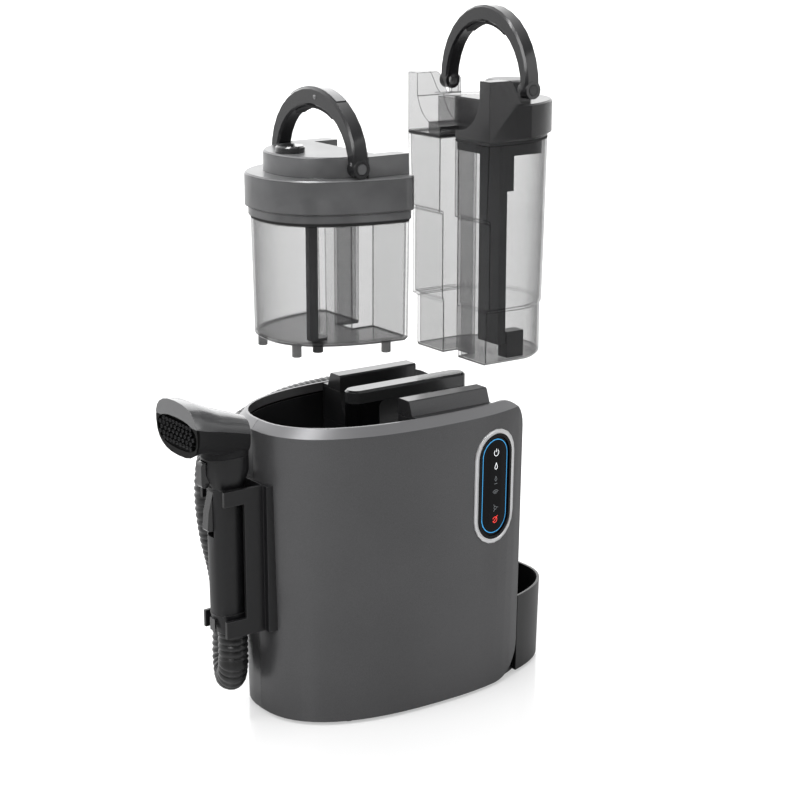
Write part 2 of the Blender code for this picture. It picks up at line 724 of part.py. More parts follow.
def body_oval(inset, z):
    """The body's plan at a height, drawn in by an inset."""
    return at_height(oval(BODY_HALF_LENGTH - inset, BODY_HALF_WIDTH - inset, BODY_STEPS), z)


def body_draft(z):
    """How far the body's side leans in at a height."""
    wall_top = BODY_TOP - RIM_CHAMFER_DOWN
    return BODY_DRAFT * (wall_top - z) / (wall_top - COVER_FOOT)


def body_loft(name, inset, low, high):
    """The drafted body form between two heights, drawn in by an inset."""
    return loft(
        name,
        [body_oval(inset + body_draft(low), low), body_oval(inset + body_draft(high), high)],
    )


def arc_points(cx, cz, radius, start, end, steps):
    turns = [start + (end - start) * i / steps for i in range(steps + 1)]
    return [(cx + radius * math.cos(t), cz + radius * math.sin(t)) for t in turns]


def oblong(cx, cz, width, height):
    """A tall outline with full round ends, as (x, z)."""
    radius = width / 2
    straight = height / 2 - radius
    top = arc_points(cx, cz + straight, radius, 0, math.pi, PANEL_END_STEPS)
    bottom = arc_points(cx, cz - straight, radius, math.pi, 2 * math.pi, PANEL_END_STEPS)
    return top + bottom


# Body shell


def cover_profile():
    """The covers' outline seen from the front, open-ended to the left."""
    left = -BODY_HALF_LENGTH - OVERRUN
    top = arc_points(
        COVER_END - COVER_TOP_RADIUS,
        BODY_TOP - COVER_TOP_RADIUS,
        COVER_TOP_RADIUS,
        0,
        math.pi / 2,
        8,
    )
    foot = arc_points(
        COVER_END - COVER_FOOT_RADIUS,
        COVER_FOOT + COVER_FOOT_RADIUS,
        COVER_FOOT_RADIUS,
        -math.pi / 2,
        0,
        8,
    )
    return foot + top + [(left, BODY_TOP), (left, COVER_FOOT)]


def make_cover(name, front):
    """One half of the shell, split at the seam on the left end."""
    wall_top = BODY_TOP - RIM_CHAMFER_DOWN
    opening = RIM_CHAMFER_IN + RIM_LAND
    shell = loft(
        name,
        [
            body_oval(BODY_DRAFT, COVER_FOOT),
            body_oval(0, wall_top),
            body_oval(RIM_CHAMFER_IN, BODY_TOP),
        ],
    )
    low = COVER_FOOT - OVERRUN
    hollow = loft(
        name + "_hollow",
        [
            body_oval(COVER_WALL + body_draft(low), low),
            body_oval(COVER_WALL, wall_top - COVER_WALL),
            body_oval(opening, wall_top),
            body_oval(opening, BODY_TOP + OVERRUN),
        ],
    )
    side = -1 if front else 1
    near = side * SEAM_GAP / 2
    far = side * (BODY_HALF_WIDTH + OVERRUN)
    half = side_slab(name + "_half", cover_profile(), near, far)
    cut(shell, hollow)
    keep(shell, half)
    return finish_piece(shell, "graphite")


def make_front_cover():
    cover = make_cover("front_cover", True)
    recess = oblong_prism("panel_recess", PANEL_WIDTH, PANEL_HEIGHT)
    cut(recess, body_loft("panel_recess_floor", PANEL_RECESS, *panel_band()))
    cut(cover, recess)
    return cover


def make_rear_cover():
    cover = make_cover("rear_cover", False)
    width = GRILLE_HALF_WIDTH + FIT
    height = GRILLE_HALF_HEIGHT + FIT
    window = block(
        "grille_window",
        (GRILLE_X - width, BODY_HALF_WIDTH - OVERRUN, GRILLE_Z - height),
        (GRILLE_X + width, BODY_HALF_WIDTH + OVERRUN, GRILLE_Z + height),
    )
    gland_hole = along_y(
        "gland_hole",
        GLAND_X,
        GLAND_Z,
        GLAND_RADIUS - GLAND_HOLE + FIT,
        BODY_HALF_WIDTH - OVERRUN,
        BODY_HALF_WIDTH + OVERRUN,
    )
    cut(cover, window, gland_hole)
    return cover


def along_y(name, x, z, radius, near, far, steps=ROUND_STEPS):
    """A round bar along Y."""
    return side_slab(name, circle(x, z, radius, steps), near, far)


def cup_outline(half_length, half_width, side, left, step):
    """Plan of the cup: narrow between the covers, and the oval's end beyond them."""
    shoulder = oval_half_width(step, half_length, half_width)
    low = -math.atan2(shoulder, step)
    count = OVAL_STEPS // 2
    points = [(left, -side), (step, -side), (step, -shoulder)]
    start = math.acos((step / half_length) ** (OVAL_POWER / 2))
    for i in range(1, count):
        turn = -start + 2 * start * i / count
        c, s = math.cos(turn), math.sin(turn)
        x = half_length * abs(c) ** (2 / OVAL_POWER)
        y = half_width * math.copysign(abs(s) ** (2 / OVAL_POWER), s)
        points.append((x, y))
    return points + [(step, shoulder), (step, side), (left, side)]


def make_base_tray():
    """Floor of the body and the cup, moulded as one piece."""
    floor_low = COVER_FOOT
    inset = COVER_WALL + FIT
    tray = body_loft("base_tray", inset, floor_low, floor_low + TRAY_FLOOR)
    step = COVER_END + 2 * FIT
    left = COLUMN_RIGHT + FIT
    outer = loft(
        "cup_outer",
        [
            at_height(
                cup_outline(CUP_HALF_LENGTH - draft, CUP_HALF_WIDTH - draft, CUP_SIDE, left, step), z
            )
            for draft, z in ((CUP_DRAFT, COVER_FOOT), (0, CUP_TOP))
        ],
    )
    inner_plan = cup_outline(
        CUP_HALF_LENGTH - CUP_WALL,
        CUP_HALF_WIDTH - CUP_WALL,
        CUP_SIDE - CUP_WALL,
        left + CUP_WALL,
        step + CUP_WALL,
    )
    inner = slab("cup_inner", inner_plan, CUP_FLOOR, CUP_TOP + OVERRUN)
    pocket_plan = cup_outline(
        CUP_HALF_LENGTH - 2 * CUP_FLOOR_WALL,
        CUP_HALF_WIDTH - 2 * CUP_FLOOR_WALL,
        CUP_SIDE - CUP_FLOOR_WALL,
        left + CUP_FLOOR_WALL,
        step + CUP_FLOOR_WALL,
    )
    pocket = slab(
        "cup_pocket", pocket_plan, COVER_FOOT + TRAY_FLOOR, CUP_FLOOR - CUP_FLOOR_WALL
    )
    pocket_mouth = turned(
        "cup_pocket_mouth",
        (COVER_END + CUP_HALF_LENGTH) / 2,
        0,
        [(FOOT_RADIUS, COVER_FOOT - OVERRUN), (FOOT_RADIUS, CUP_FLOOR - 2 * CUP_FLOOR_WALL)],
    )
    fuse(tray, outer)
    cut(tray, inner, pocket, pocket_mouth)
    for number, (x, y) in enumerate(foot_places(), 1):
        recess = turned(
            f"foot_recess_{number}",
            x,
            y,
            [
                (FOOT_RADIUS + FIT, COVER_FOOT - OVERRUN),
                (FOOT_RADIUS + FIT, COVER_FOOT + FOOT_RECESS),
            ],
            FOOT_STEPS,
        )
        cut(tray, recess)
    return finish_piece(tray, "black")


def foot_places():
    return [
        (FOOT_X_LEFT, -FOOT_Y_LEFT),
        (FOOT_X_LEFT, FOOT_Y_LEFT),
        (FOOT_X_RIGHT, -FOOT_Y_RIGHT),
        (FOOT_X_RIGHT, FOOT_Y_RIGHT),
    ]


def make_feet():
    feet = []
    top = COVER_FOOT + FOOT_RECESS - FIT
    for number, (x, y) in enumerate(foot_places(), 1):
        foot = turned(
            f"foot_{number}",
            x,
            y,
            [(FOOT_RADIUS - RUNNING_GAP, 0), (FOOT_RADIUS, RUNNING_GAP), (FOOT_RADIUS, top)],
            FOOT_STEPS,
        )
        feet.append(finish_piece(foot, "rubber"))
    return feet


# Column, shoulders and handle


def column_plan(inset, left, right):
    """A stretch of the body's oval between two places along its length."""
    half_length = BODY_HALF_LENGTH - inset
    half_width = BODY_HALF_WIDTH - inset
    count = OVAL_STEPS // 6
    front = []
    for i in range(count + 1):
        x = left + (right - left) * i / count
        front.append((x, -oval_half_width(x, half_length, half_width)))
    return front + [(x, -y) for x, y in reversed(front)]


def make_centre_column():
    """Hollow housing of the motor and fan, open below."""
    inset = BODY_DRAFT + COVER_WALL + RUNNING_GAP
    bottom = COVER_FOOT + TRAY_FLOOR + FIT
    column = slab(
        "centre_column", column_plan(inset, COLUMN_LEFT, COLUMN_RIGHT), bottom, COLUMN_TOP
    )
    hollow = slab(
        "column_hollow",
        column_plan(inset + COLUMN_WALL, COLUMN_LEFT + COLUMN_WALL, COLUMN_RIGHT - COLUMN_WALL),
        bottom - OVERRUN,
        COLUMN_TOP - COLUMN_WALL,
    )
    cut(column, hollow)
    left_gusset = [
        (COLUMN_LEFT + COLUMN_WALL / 2, WELL_FLOOR - GUSSET_DROP),
        (COLUMN_LEFT + COLUMN_WALL / 2, WELL_FLOOR - 2 * FIT),
        (HANDLE_LEFT, WELL_FLOOR - 2 * FIT),
        (HANDLE_LEFT, WELL_FLOOR - GUSSET_LIP),
    ]
    right_gusset = [
        (COLUMN_RIGHT - COLUMN_WALL / 2, WELL_FLOOR - GUSSET_DROP),
        (HANDLE_RIGHT, WELL_FLOOR - GUSSET_LIP),
        (HANDLE_RIGHT, WELL_FLOOR - 2 * FIT),
        (COLUMN_RIGHT - COLUMN_WALL / 2, WELL_FLOOR - 2 * FIT),
    ]
    for number, outline in enumerate((left_gusset, right_gusset), 1):
        gusset = side_slab(
            f"handle_gusset_{number}", outline, -HANDLE_HALF_WIDTH, HANDLE_HALF_WIDTH
        )
        fuse(column, gusset)
    return finish_piece(column, "black")


def well_outline(spread, top):
    """Section of the hand well: a flat floor that curves up to upright sides."""
    half_open = SHOULDER_INNER + spread
    floor = WELL_FLOOR - spread
    half_floor = WELL_HALF_FLOOR
    shoulder = DECK_TOP - spread
    right = []
    steps = 7
    for i in range(steps + 1):
        turn = math.pi / 2 * i / steps
        y = half_floor + (half_open - half_floor) * math.sin(turn)
        z = shoulder - (shoulder - floor) * math.cos(turn)
        right.append((y, z))
    left = [(-y, z) for y, z in reversed(right)]
    return [(-half_open, top)] + left + right + [(half_open, top)]


def make_column_cap():
    """The black moulding that closes the column and forms the hand well."""
    inset = BODY_DRAFT + COVER_WALL + RUNNING_GAP
    cap = slab(
        "column_cap", column_plan(inset, COLUMN_LEFT, COLUMN_RIGHT), COLUMN_TOP + FIT, DECK_TOP
    )
    well = end_slab(
        "well_cut",
        well_outline(0, SHOULDER_TOP + OVERRUN),
        COLUMN_LEFT - OVERRUN,
        COLUMN_RIGHT + OVERRUN,
    )
    cut(cap, well)
    return finish_piece(cap, "black")


def make_shoulder(name, side):
    """One of the two raised shoulders beside the hand well."""
    opening = RIM_CHAMFER_IN + RIM_LAND + FIT
    base = DECK_TOP + FIT
    spread = SHOULDER_OUTER + SHOULDER_SPREAD
    outline = [
        (SHOULDER_INNER + SHOULDER_EDGE, SHOULDER_TOP),
        (SHOULDER_INNER, SHOULDER_TOP - SHOULDER_EDGE),
        (SHOULDER_INNER, base),
        (BODY_HALF_WIDTH, base),
        (BODY_HALF_WIDTH, LEDGE_TOP),
        (spread, LEDGE_TOP),
        (SHOULDER_OUTER, SHOULDER_TOP - SHOULDER_EDGE),
        (SHOULDER_OUTER - SHOULDER_EDGE, SHOULDER_TOP),
    ]
    shoulder = end_slab(name, [(side * y, z) for y, z in outline], COLUMN_LEFT, COLUMN_RIGHT)
    limit = loft(
        name + "_limit",
        [body_oval(opening, base - OVERRUN), body_oval(opening, SHOULDER_TOP + OVERRUN)],
    )
    keep(shoulder, limit)
    return finish_piece(shoulder, "lid_grey")


def stadium(left, right, half_width, steps=ROUND_STEPS):
    """A long plan outline with full round ends."""
    half = steps // 2
    right_end = arc_points(
        right - half_width, 0, half_width, -math.pi / 2, math.pi / 2, half
    )
    left_end = arc_points(
        left + half_width, 0, half_width, math.pi / 2, 3 * math.pi / 2, half
    )
    return right_end + left_end


def make_carry_handle():
    """Bar and two pillars over the hand well."""
    full = stadium(HANDLE_LEFT, HANDLE_RIGHT, HANDLE_HALF_WIDTH)
    top_plan = stadium(
        HANDLE_LEFT + HANDLE_EDGE, HANDLE_RIGHT - HANDLE_EDGE, HANDLE_HALF_WIDTH - HANDLE_EDGE
    )
    handle = loft(
        "carry_handle",
        [
            at_height(full, WELL_FLOOR + FIT),
            at_height(full, SHOULDER_TOP - HANDLE_EDGE),
            at_height(top_plan, SHOULDER_TOP),
        ],
    )
    under_bar = SHOULDER_TOP - HANDLE_BAR_HEIGHT
    left_arc = arc_points(
        FINGER_LEFT + FINGER_RADIUS,
        under_bar - FINGER_RADIUS,
        FINGER_RADIUS,
        math.pi / 2,
        math.pi,
        5,
    )
    right_arc = arc_points(
        FINGER_RIGHT - FINGER_RADIUS,
        under_bar - FINGER_RADIUS,
        FINGER_RADIUS,
        0,
        math.pi / 2,
        5,
    )
    low = WELL_FLOOR - OVERRUN
    gap = side_slab(
        "finger_gap",
        right_arc + left_arc + [(FINGER_LEFT, low), (FINGER_RIGHT, low)],
        -HANDLE_HALF_WIDTH - OVERRUN,
        HANDLE_HALF_WIDTH + OVERRUN,
    )
    cut(handle, gap)
    return finish_piece(handle, "graphite")


def make_clean_bay():
    """Bucket that the clean tank stands in, open on the column's side."""
    opening = RIM_CHAMFER_IN + RIM_LAND
    top = BODY_TOP - RIM_CHAMFER_DOWN - COVER_WALL / 2
    low = BAY_FLOOR - BAY_FLOOR_WALL
    right = COLUMN_LEFT - FIT
    outer_inset = opening - BAY_WALL
    bay = loft("clean_bay", [body_oval(outer_inset, low), body_oval(outer_inset, top)])
    inner = loft(
        "bay_inner", [body_oval(opening, BAY_FLOOR), body_oval(opening, top + OVERRUN)]
    )
    beyond = block(
        "bay_right",
        (right, -BODY_HALF_WIDTH - OVERRUN, low - OVERRUN),
        (BODY_HALF_LENGTH + OVERRUN, BODY_HALF_WIDTH + OVERRUN, top + OVERRUN),
    )
    drain = turned(
        "bay_drain",
        VALVE_X,
        VALVE_Y,
        [(VALVE_SEAT_HOLE, low - OVERRUN), (VALVE_SEAT_HOLE, BAY_FLOOR + OVERRUN)],
    )
    cut(bay, inner, beyond, drain)
    return finish_piece(bay, "black")


def make_valve_seat():
    low = BAY_FLOOR + FIT
    high = low + VALVE_SEAT_HEIGHT
    seat = turned_hoop(
        "valve_seat",
        VALVE_X,
        VALVE_Y,
        [
            (VALVE_SEAT_RADIUS, low),
            (VALVE_SEAT_RADIUS, high),
            (VALVE_SEAT_HOLE, high),
            (VALVE_SEAT_HOLE, low),
        ],
    )
    return finish_piece(seat, "rubber")


# Control panel


def panel_band():
    """Heights that reach past the panel at both ends."""
    reach = PANEL_HEIGHT / 2 + FOOT_RADIUS
    return PANEL_Z - reach, PANEL_Z + reach


def oblong_prism(name, width, height):
    """A bar with the panel's oblong section, from the body's middle out past its front."""
    outline = oblong(PANEL_X, PANEL_Z, width, height)
    return side_slab(name, outline, -BODY_HALF_WIDTH - OVERRUN, -BODY_HALF_WIDTH / 2)


def skin_piece(name, outer_inset, inner_inset, band, region):
    """A piece of the body's skin between two depths, as far as a region reaches."""
    piece = body_loft(name, outer_inset, *band)
    low, high = band
    inside = body_loft(name + "_inside", inner_inset, low - OVERRUN, high + OVERRUN)
    keep(piece, region)
    cut(piece, inside)
    return piece


def make_panel_ring():
    width = PANEL_WIDTH - 2 * FIT
    height = PANEL_HEIGHT - 2 * FIT
    ring = skin_piece(
        "panel_ring",
        -PANEL_RING_PROUD,
        PANEL_RECESS - FIT,
        panel_band(),
        oblong_prism("ring_region", width, height),
    )
    hole = oblong_prism("ring_hole", width - 2 * PANEL_RING_WIDTH, height - 2 * PANEL_RING_WIDTH)
    cut(ring, hole)
    return finish_piece(ring, "silver")


def make_panel_glass():
    """Black glass inside the ring, with a groove for the light line."""
    width = PANEL_WIDTH - 2 * PANEL_RING_WIDTH - 4 * FIT
    height = PANEL_HEIGHT - 2 * PANEL_RING_WIDTH - 4 * FIT
    glass = skin_piece(
        "panel_glass",
        0,
        PANEL_RECESS - FIT,
        panel_band(),
        oblong_prism("glass_region", width, height),
    )
    outer = 2 * LIGHT_INSET - 2 * FIT
    inner = 2 * LIGHT_INSET + 2 * LIGHT_WIDTH + 2 * FIT
    groove = oblong_prism("light_groove", width - outer, height - outer)
    cut(groove, oblong_prism("light_island", width - inner, height - inner))
    cut(groove, body_loft("light_groove_floor", LIGHT_DEPTH + FIT, *panel_band()))
    cut(glass, groove)
    return finish_piece(glass, "gloss_black")


def make_panel_light():
    width = PANEL_WIDTH - 2 * PANEL_RING_WIDTH - 4 * FIT - 2 * LIGHT_INSET
    height = PANEL_HEIGHT - 2 * PANEL_RING_WIDTH - 4 * FIT - 2 * LIGHT_INSET
    light = skin_piece(
        "panel_light_ring",
        0,
        LIGHT_DEPTH,
        panel_band(),
        oblong_prism("light_region", width, height),
    )
    cut(light, oblong_prism("light_hole", width - 2 * LIGHT_WIDTH, height - 2 * LIGHT_WIDTH))
    return finish_piece(light, "light_blue")


# Clean tank


def clean_plan(inset, wall=0.0):
    """D-shaped plan with a groove for the handle's overhanging end."""
    opening = RIM_CHAMFER_IN + RIM_LAND + TANK_GAP + inset + wall
    half_length = BODY_HALF_LENGTH - opening
    half_width = BODY_HALF_WIDTH - opening
    face = CLEAN_FACE - inset / 4 - wall
    notch = CLEAN_NOTCH - wall
    notch_half = NOTCH_HALF_WIDTH + wall
    start = math.acos((abs(face - CLEAN_CORNER) / half_length) ** (OVAL_POWER / 2))
    count = OVAL_STEPS // 2
    points = []
    for i in range(count + 1):
        turn = start - 2 * start * i / count
        c, s = math.cos(turn), math.sin(turn)
        x = -half_length * abs(c) ** (2 / OVAL_POWER)
        y = half_width * math.copysign(abs(s) ** (2 / OVAL_POWER), s)
        points.append((x, y))
    corner = oval_half_width(face, half_length, half_width) - CLEAN_CORNER
    return points + [
        (face, -corner),
        (face, -notch_half),
        (notch, -notch_half),
        (notch, notch_half),
        (face, notch_half),
        (face, corner),
    ]


def make_clean_tank_shell():
    inset = CLEAN_SHELL_INSET
    low_inset = inset + CLEAN_SHELL_DRAFT
    edge = 2 * TANK_WALL
    shell = loft(
        "clean_tank_shell",
        [
            at_height(clean_plan(low_inset + TANK_WALL), CLEAN_BOTTOM),
            at_height(clean_plan(low_inset), CLEAN_BOTTOM + TANK_WALL),
            at_height(clean_plan(inset), CLEAN_SHELL_TOP),
        ],
    )
    inner = loft(
        "clean_inner",
        [
            at_height(clean_plan(low_inset + TANK_WALL, TANK_WALL), CLEAN_BOTTOM + TANK_WALL),
            at_height(clean_plan(low_inset, TANK_WALL), CLEAN_BOTTOM + edge),
            at_height(clean_plan(inset, TANK_WALL), CLEAN_SHELL_TOP + OVERRUN),
        ],
    )
    cut(shell, inner)
    reach = BODY_HALF_WIDTH - RIM_CHAMFER_IN - CLEAN_SHELL_INSET - CLEAN_LEG_INSET
    far_left = -BODY_HALF_LENGTH + RIM_CHAMFER_IN + CLEAN_SHELL_INSET + CLEAN_LEG_INSET
    legs = (
        (CLEAN_FACE - CLEAN_LEG_INSET, -reach),
        (CLEAN_FACE - CLEAN_LEG_INSET, reach),
        (far_left, -reach / 2),
        (far_left, reach / 2),
    )
    for number, (x, y) in enumerate(legs, 1):
        leg = turned(
            f"clean_leg_{number}",
            x,
            y,
            [
                (CLEAN_LEG_RADIUS - RUNNING_GAP, CLEAN_LEG_BOTTOM),
                (CLEAN_LEG_RADIUS, CLEAN_LEG_BOTTOM + RUNNING_GAP),
                (CLEAN_LEG_RADIUS, CLEAN_BOTTOM + TANK_WALL / 2),
            ],
            ROUND_STEPS // 2,
        )
        fuse(shell, leg)
    hole = turned(
        "clean_outlet",
        VALVE_X,
        VALVE_Y,
        [
            (PLUNGER_RADIUS + FIT, CLEAN_BOTTOM - OVERRUN),
            (PLUNGER_RADIUS + FIT, CLEAN_BOTTOM + edge),
        ],
    )
    cut(shell, hole)
    return finish_piece(shell, "smoke")


def seal_band(name, outer, inner, low):
    """A flat sealing band between a tank and its lid."""
    high = low + SEAL_HEIGHT
    rings = [
        at_height(outer, low),
        at_height(outer, high),
        at_height(inner, high),
        at_height(inner, low),
    ]
    return finish_piece(hoop(name, rings), "rubber")


def make_clean_tank_seal():
    outer = clean_plan(CLEAN_SHELL_INSET)
    inner = clean_plan(CLEAN_SHELL_INSET, TANK_WALL)
    return seal_band("clean_tank_seal", outer, inner, CLEAN_SHELL_TOP + FIT)


def collar_plan(inset):
    """Plan of the raised collar: an oval's left end with straight sides."""
    half_length = BODY_HALF_LENGTH - RIM_CHAMFER_IN - RIM_LAND - COLLAR_INSET - inset
    limit = COLLAR_HALF_WIDTH - inset
    start = math.acos((abs(COLLAR_RIGHT) / half_length) ** (OVAL_POWER / 2))
    count = OVAL_STEPS // 2
    points = []
    for i in range(count + 1):
        turn = start - 2 * start * i / count
        c, s = math.cos(turn), math.sin(turn)
        x = -half_length * abs(c) ** (2 / OVAL_POWER)
        y = COLLAR_OVAL_WIDTH * math.copysign(abs(s) ** (2 / OVAL_POWER), s)
        points.append((x, max(-limit, min(limit, y))))
    return points


def make_clean_tank_lid():
    bottom = CLEAN_SHELL_TOP + SEAL_HEIGHT + 2 * FIT
    lid = loft(
        "clean_tank_lid",
        [
            at_height(clean_plan(CLEAN_FLANGE_INSET), bottom),
            at_height(clean_plan(CLEAN_FLANGE_INSET), CLEAN_FLANGE_TOP - LID_EDGE),
            at_height(clean_plan(0), CLEAN_FLANGE_TOP),
            at_height(clean_plan(0), CLEAN_LID_TOP - LID_EDGE),
            at_height(clean_plan(LID_EDGE), CLEAN_LID_TOP),
        ],
    )
    collar = loft(
        "clean_collar",
        [
            at_height(collar_plan(0), CLEAN_LID_TOP - LID_SKIN),
            at_height(collar_plan(0), COLLAR_TOP - LID_EDGE),
            at_height(collar_plan(LID_EDGE), COLLAR_TOP),
        ],
    )
    fuse(lid, collar)
    for name, side in (("clean_prong_front", -1), ("clean_prong_rear", 1)):
        near, far = sorted((side * SHOULDER_INNER, side * SHOULDER_OUTER))
        prong = block(
            name,
            (PRONG_LEFT, near, CLEAN_LID_TOP - LID_SKIN),
            (CLEAN_FACE, far, COLLAR_TOP),
        )
        room_near, room_far = sorted((side * COLLAR_HALF_WIDTH, side * BODY_HALF_WIDTH))
        foot_room = block(
            name + "_foot_room",
            (PRONG_LEFT - OVERRUN, room_near, CLEAN_LID_TOP),
            (CLEAN_BAIL_X + BAIL_FOOT_RADIUS + TANK_GAP, room_far, COLLAR_TOP + OVERRUN),
        )
        fuse(lid, prong)
        cut(lid, foot_room)
        boss = along_y(
            name + "_pivot",
            CLEAN_BAIL_X,
            BAIL_Z,
            BAIL_BOSS_RADIUS,
            side * (COLLAR_HALF_WIDTH - LID_SKIN),
            side * (CLEAN_BAIL_OUTER + FIT),
        )
        fuse(lid, boss)
    pocket = slab(
        "clean_lid_pocket",
        clean_plan(CLEAN_FLANGE_INSET, LID_SKIN),
        bottom - OVERRUN,
        CLEAN_LID_TOP - LID_SKIN,
    )
    filler = turned(
        "filler_hole",
        FILLER_X,
        0,
        [
            (FILLER_HOLE_RADIUS, CLEAN_FLANGE_TOP),
            (FILLER_HOLE_RADIUS, COLLAR_TOP + OVERRUN),
        ],
    )
    cut(lid, pocket, filler)
    return finish_piece(lid, "lid_grey")


def make_filler_cap():
    low = COLLAR_TOP + FIT
    high = low + CAP_HEIGHT
    left = FILLER_X - CAP_HALF_LENGTH
    right = FILLER_X + CAP_HALF_LENGTH
    outline = stadium(left, right, CAP_HALF_WIDTH - FIT)
    cap = loft(
        "filler_cap",
        [
            at_height(outline, low),
            at_height(outline, high - LID_EDGE),
            at_height(
                stadium(left + LID_EDGE, right - LID_EDGE, CAP_HALF_WIDTH - FIT - LID_EDGE), high
            ),
        ],
    )
    return finish_piece(cap, "black")


def make_pickup_pipe():
    pipe = block(
        "clean_pickup_pipe",
        (PICKUP_LEFT, PICKUP_Y - PICKUP_DEPTH / 2, CLEAN_BOTTOM + TANK_WALL + PICKUP_FOOT_GAP),
        (
            PICKUP_LEFT + PICKUP_WIDTH,
            PICKUP_Y + PICKUP_DEPTH / 2,
            CLEAN_LID_TOP - LID_SKIN - FIT,
        ),
    )
    return finish_piece(pipe, "black")


def make_plunger():
    head_low = CLEAN_BOTTOM + TANK_WALL + FIT
    plunger = turned(
        "clean_valve_plunger",
        VALVE_X,
        VALVE_Y,
        [
            (PLUNGER_RADIUS - RUNNING_GAP, PLUNGER_STEM_BOTTOM),
            (PLUNGER_RADIUS, PLUNGER_STEM_BOTTOM + RUNNING_GAP),
            (PLUNGER_RADIUS, head_low),
            (PLUNGER_HEAD_RADIUS, head_low),
            (PLUNGER_HEAD_RADIUS, head_low + PLUNGER_HEAD),
        ],
    )
    return finish_piece(plunger, "black")


# Bails


def bail_rings(x, outer, foot, top, crown, shrink):
    """Sections along a bail's arch, each an octagonal bar, from one foot to the other."""
    rings = []
    height = top - BAIL_Z
    mean_width = outer - foot / 2
    mean_height = height - crown / 2
    for i in range(BAIL_STEPS + 1):
        turn = math.pi * i / BAIL_STEPS
        centre_y = mean_width * math.cos(turn)
        centre_z = BAIL_Z + mean_height * math.sin(turn)
        normal = Vector((0, mean_height * math.cos(turn), mean_width * math.sin(turn)))
        normal.normalize()
        thick = (foot + (crown - foot) * math.sin(turn)) / 2 - shrink
        deep = BAIL_HALF_DEPTH - shrink
        corner = BAIL_EDGE
        section = (
            (-deep, -thick + corner),
            (-deep + corner, -thick),
            (deep - corner, -thick),
            (deep, -thick + corner),
            (deep, thick - corner),
            (deep - corner, thick),
            (-deep + corner, thick),
            (-deep, thick - corner),
        )
        centre = Vector((x, centre_y, centre_z))
        rings.append([centre + Vector((u, 0, 0)) + normal * v for u, v in section])
    return rings


def make_bail(name, x, outer, foot, top, crown):
    """An arch that swings on two bosses of the lid."""
    bail = loft(name, bail_rings(x, outer, foot, top, crown, 0))
    for number, side in enumerate((-1, 1), 1):
        near, far = sorted((side * (outer - foot), side * outer))
        eye = along_y(f"{name}_eye_{number}", x, BAIL_Z, BAIL_FOOT_RADIUS, near, far)
        fuse(bail, eye)
    bore = along_y(
        name + "_bore",
        x,
        BAIL_Z,
        BAIL_BOSS_RADIUS + FIT,
        -outer - OVERRUN,
        outer + OVERRUN,
    )
    cut(bail, bore)
    return finish_piece(bail, "gloss_black")


def make_grip_pad(name, x, outer, foot, top, crown):
    """Soft pad on the underside of a bail's crown."""
    height = top - BAIL_Z
    half_width = outer - foot
    half_height = height - crown
    rings = []
    for i in range(GRIP_PAD_STEPS + 1):
        turn = math.pi / 2 + GRIP_PAD_SPAN * (i / GRIP_PAD_STEPS - 0.5)
        normal = Vector((0, half_height * math.cos(turn), half_width * math.sin(turn)))
        normal.normalize()
        place = Vector((x, half_width * math.cos(turn), BAIL_Z + half_height * math.sin(turn)))
        place -= normal * 2 * FIT
        deep = BAIL_HALF_DEPTH - GRIP_PAD_INSET
        section = ((-deep, -GRIP_PAD_DEPTH), (deep, -GRIP_PAD_DEPTH), (deep, 0), (-deep, 0))
        rings.append([place + Vector((u, 0, 0)) + normal * v for u, v in section])
    return finish_piece(loft(name, rings), "rubber")


# Dirty tank


def dirty_plan(inset, side, face, wall=0.0, proud=0.0):
    """Plan of the dirty tank: flat sides between the covers and the cup's round end."""
    half_length = CUP_HALF_LENGTH - inset - wall + proud
    half_width = CUP_HALF_WIDTH - inset - wall + proud
    left = face + wall
    notch = DIRTY_NOTCH + wall
    notch_half = NOTCH_HALF_WIDTH + wall
    count = OVAL_STEPS // 2
    start = math.acos((left / half_length) ** (OVAL_POWER / 2))
    points = []
    for i in range(count + 1):
        turn = -start + 2 * start * i / count
        c, s = math.cos(turn), math.sin(turn)
        x = half_length * abs(c) ** (2 / OVAL_POWER)
        y = half_width * math.copysign(abs(s) ** (2 / OVAL_POWER), s)
        limit = side - wall
        if proud:
            flare = min(max((x - DIRTY_FLARE_START) / DIRTY_FLARE_RUN, 0.0), 1.0)
            limit += flare * flare * (3 - 2 * flare) * (half_width - limit)
        points.append((x, max(-limit, min(limit, y))))
    return points + [
        (left, notch_half),
        (notch, notch_half),
        (notch, -notch_half),
        (left, -notch_half),
    ]


def dirty_levels(wall):
    """Plans of the dirty tank from its bottom to its top, with the steps of its wall."""
    low = (DIRTY_LOW_INSET, DIRTY_LOW_SIDE, DIRTY_LOW_FACE)
    middle = (DIRTY_MID_INSET, DIRTY_MID_SIDE, DIRTY_MID_FACE)
    upper = (DIRTY_MID_INSET / 2, DIRTY_MID_SIDE, DIRTY_FACE)
    top = (DIRTY_TOP_INSET, DIRTY_TOP_SIDE, DIRTY_FACE)
    run = DIRTY_STEP_RUN
    heights = (
        (low, DIRTY_BOTTOM + run),
        (low, DIRTY_STEP_LOW + wall),
        (middle, DIRTY_STEP_LOW + run + wall),
        (
            (upper[0], upper[1], DIRTY_MID_FACE),
            DIRTY_STEP_HIGH + wall,
        ),
        (upper, DIRTY_STEP_HIGH + run + wall),
        (top, DIRTY_SHELL_TOP),
    )
    return [(dirty_plan(i, s, f, wall), z) for (i, s, f), z in heights]


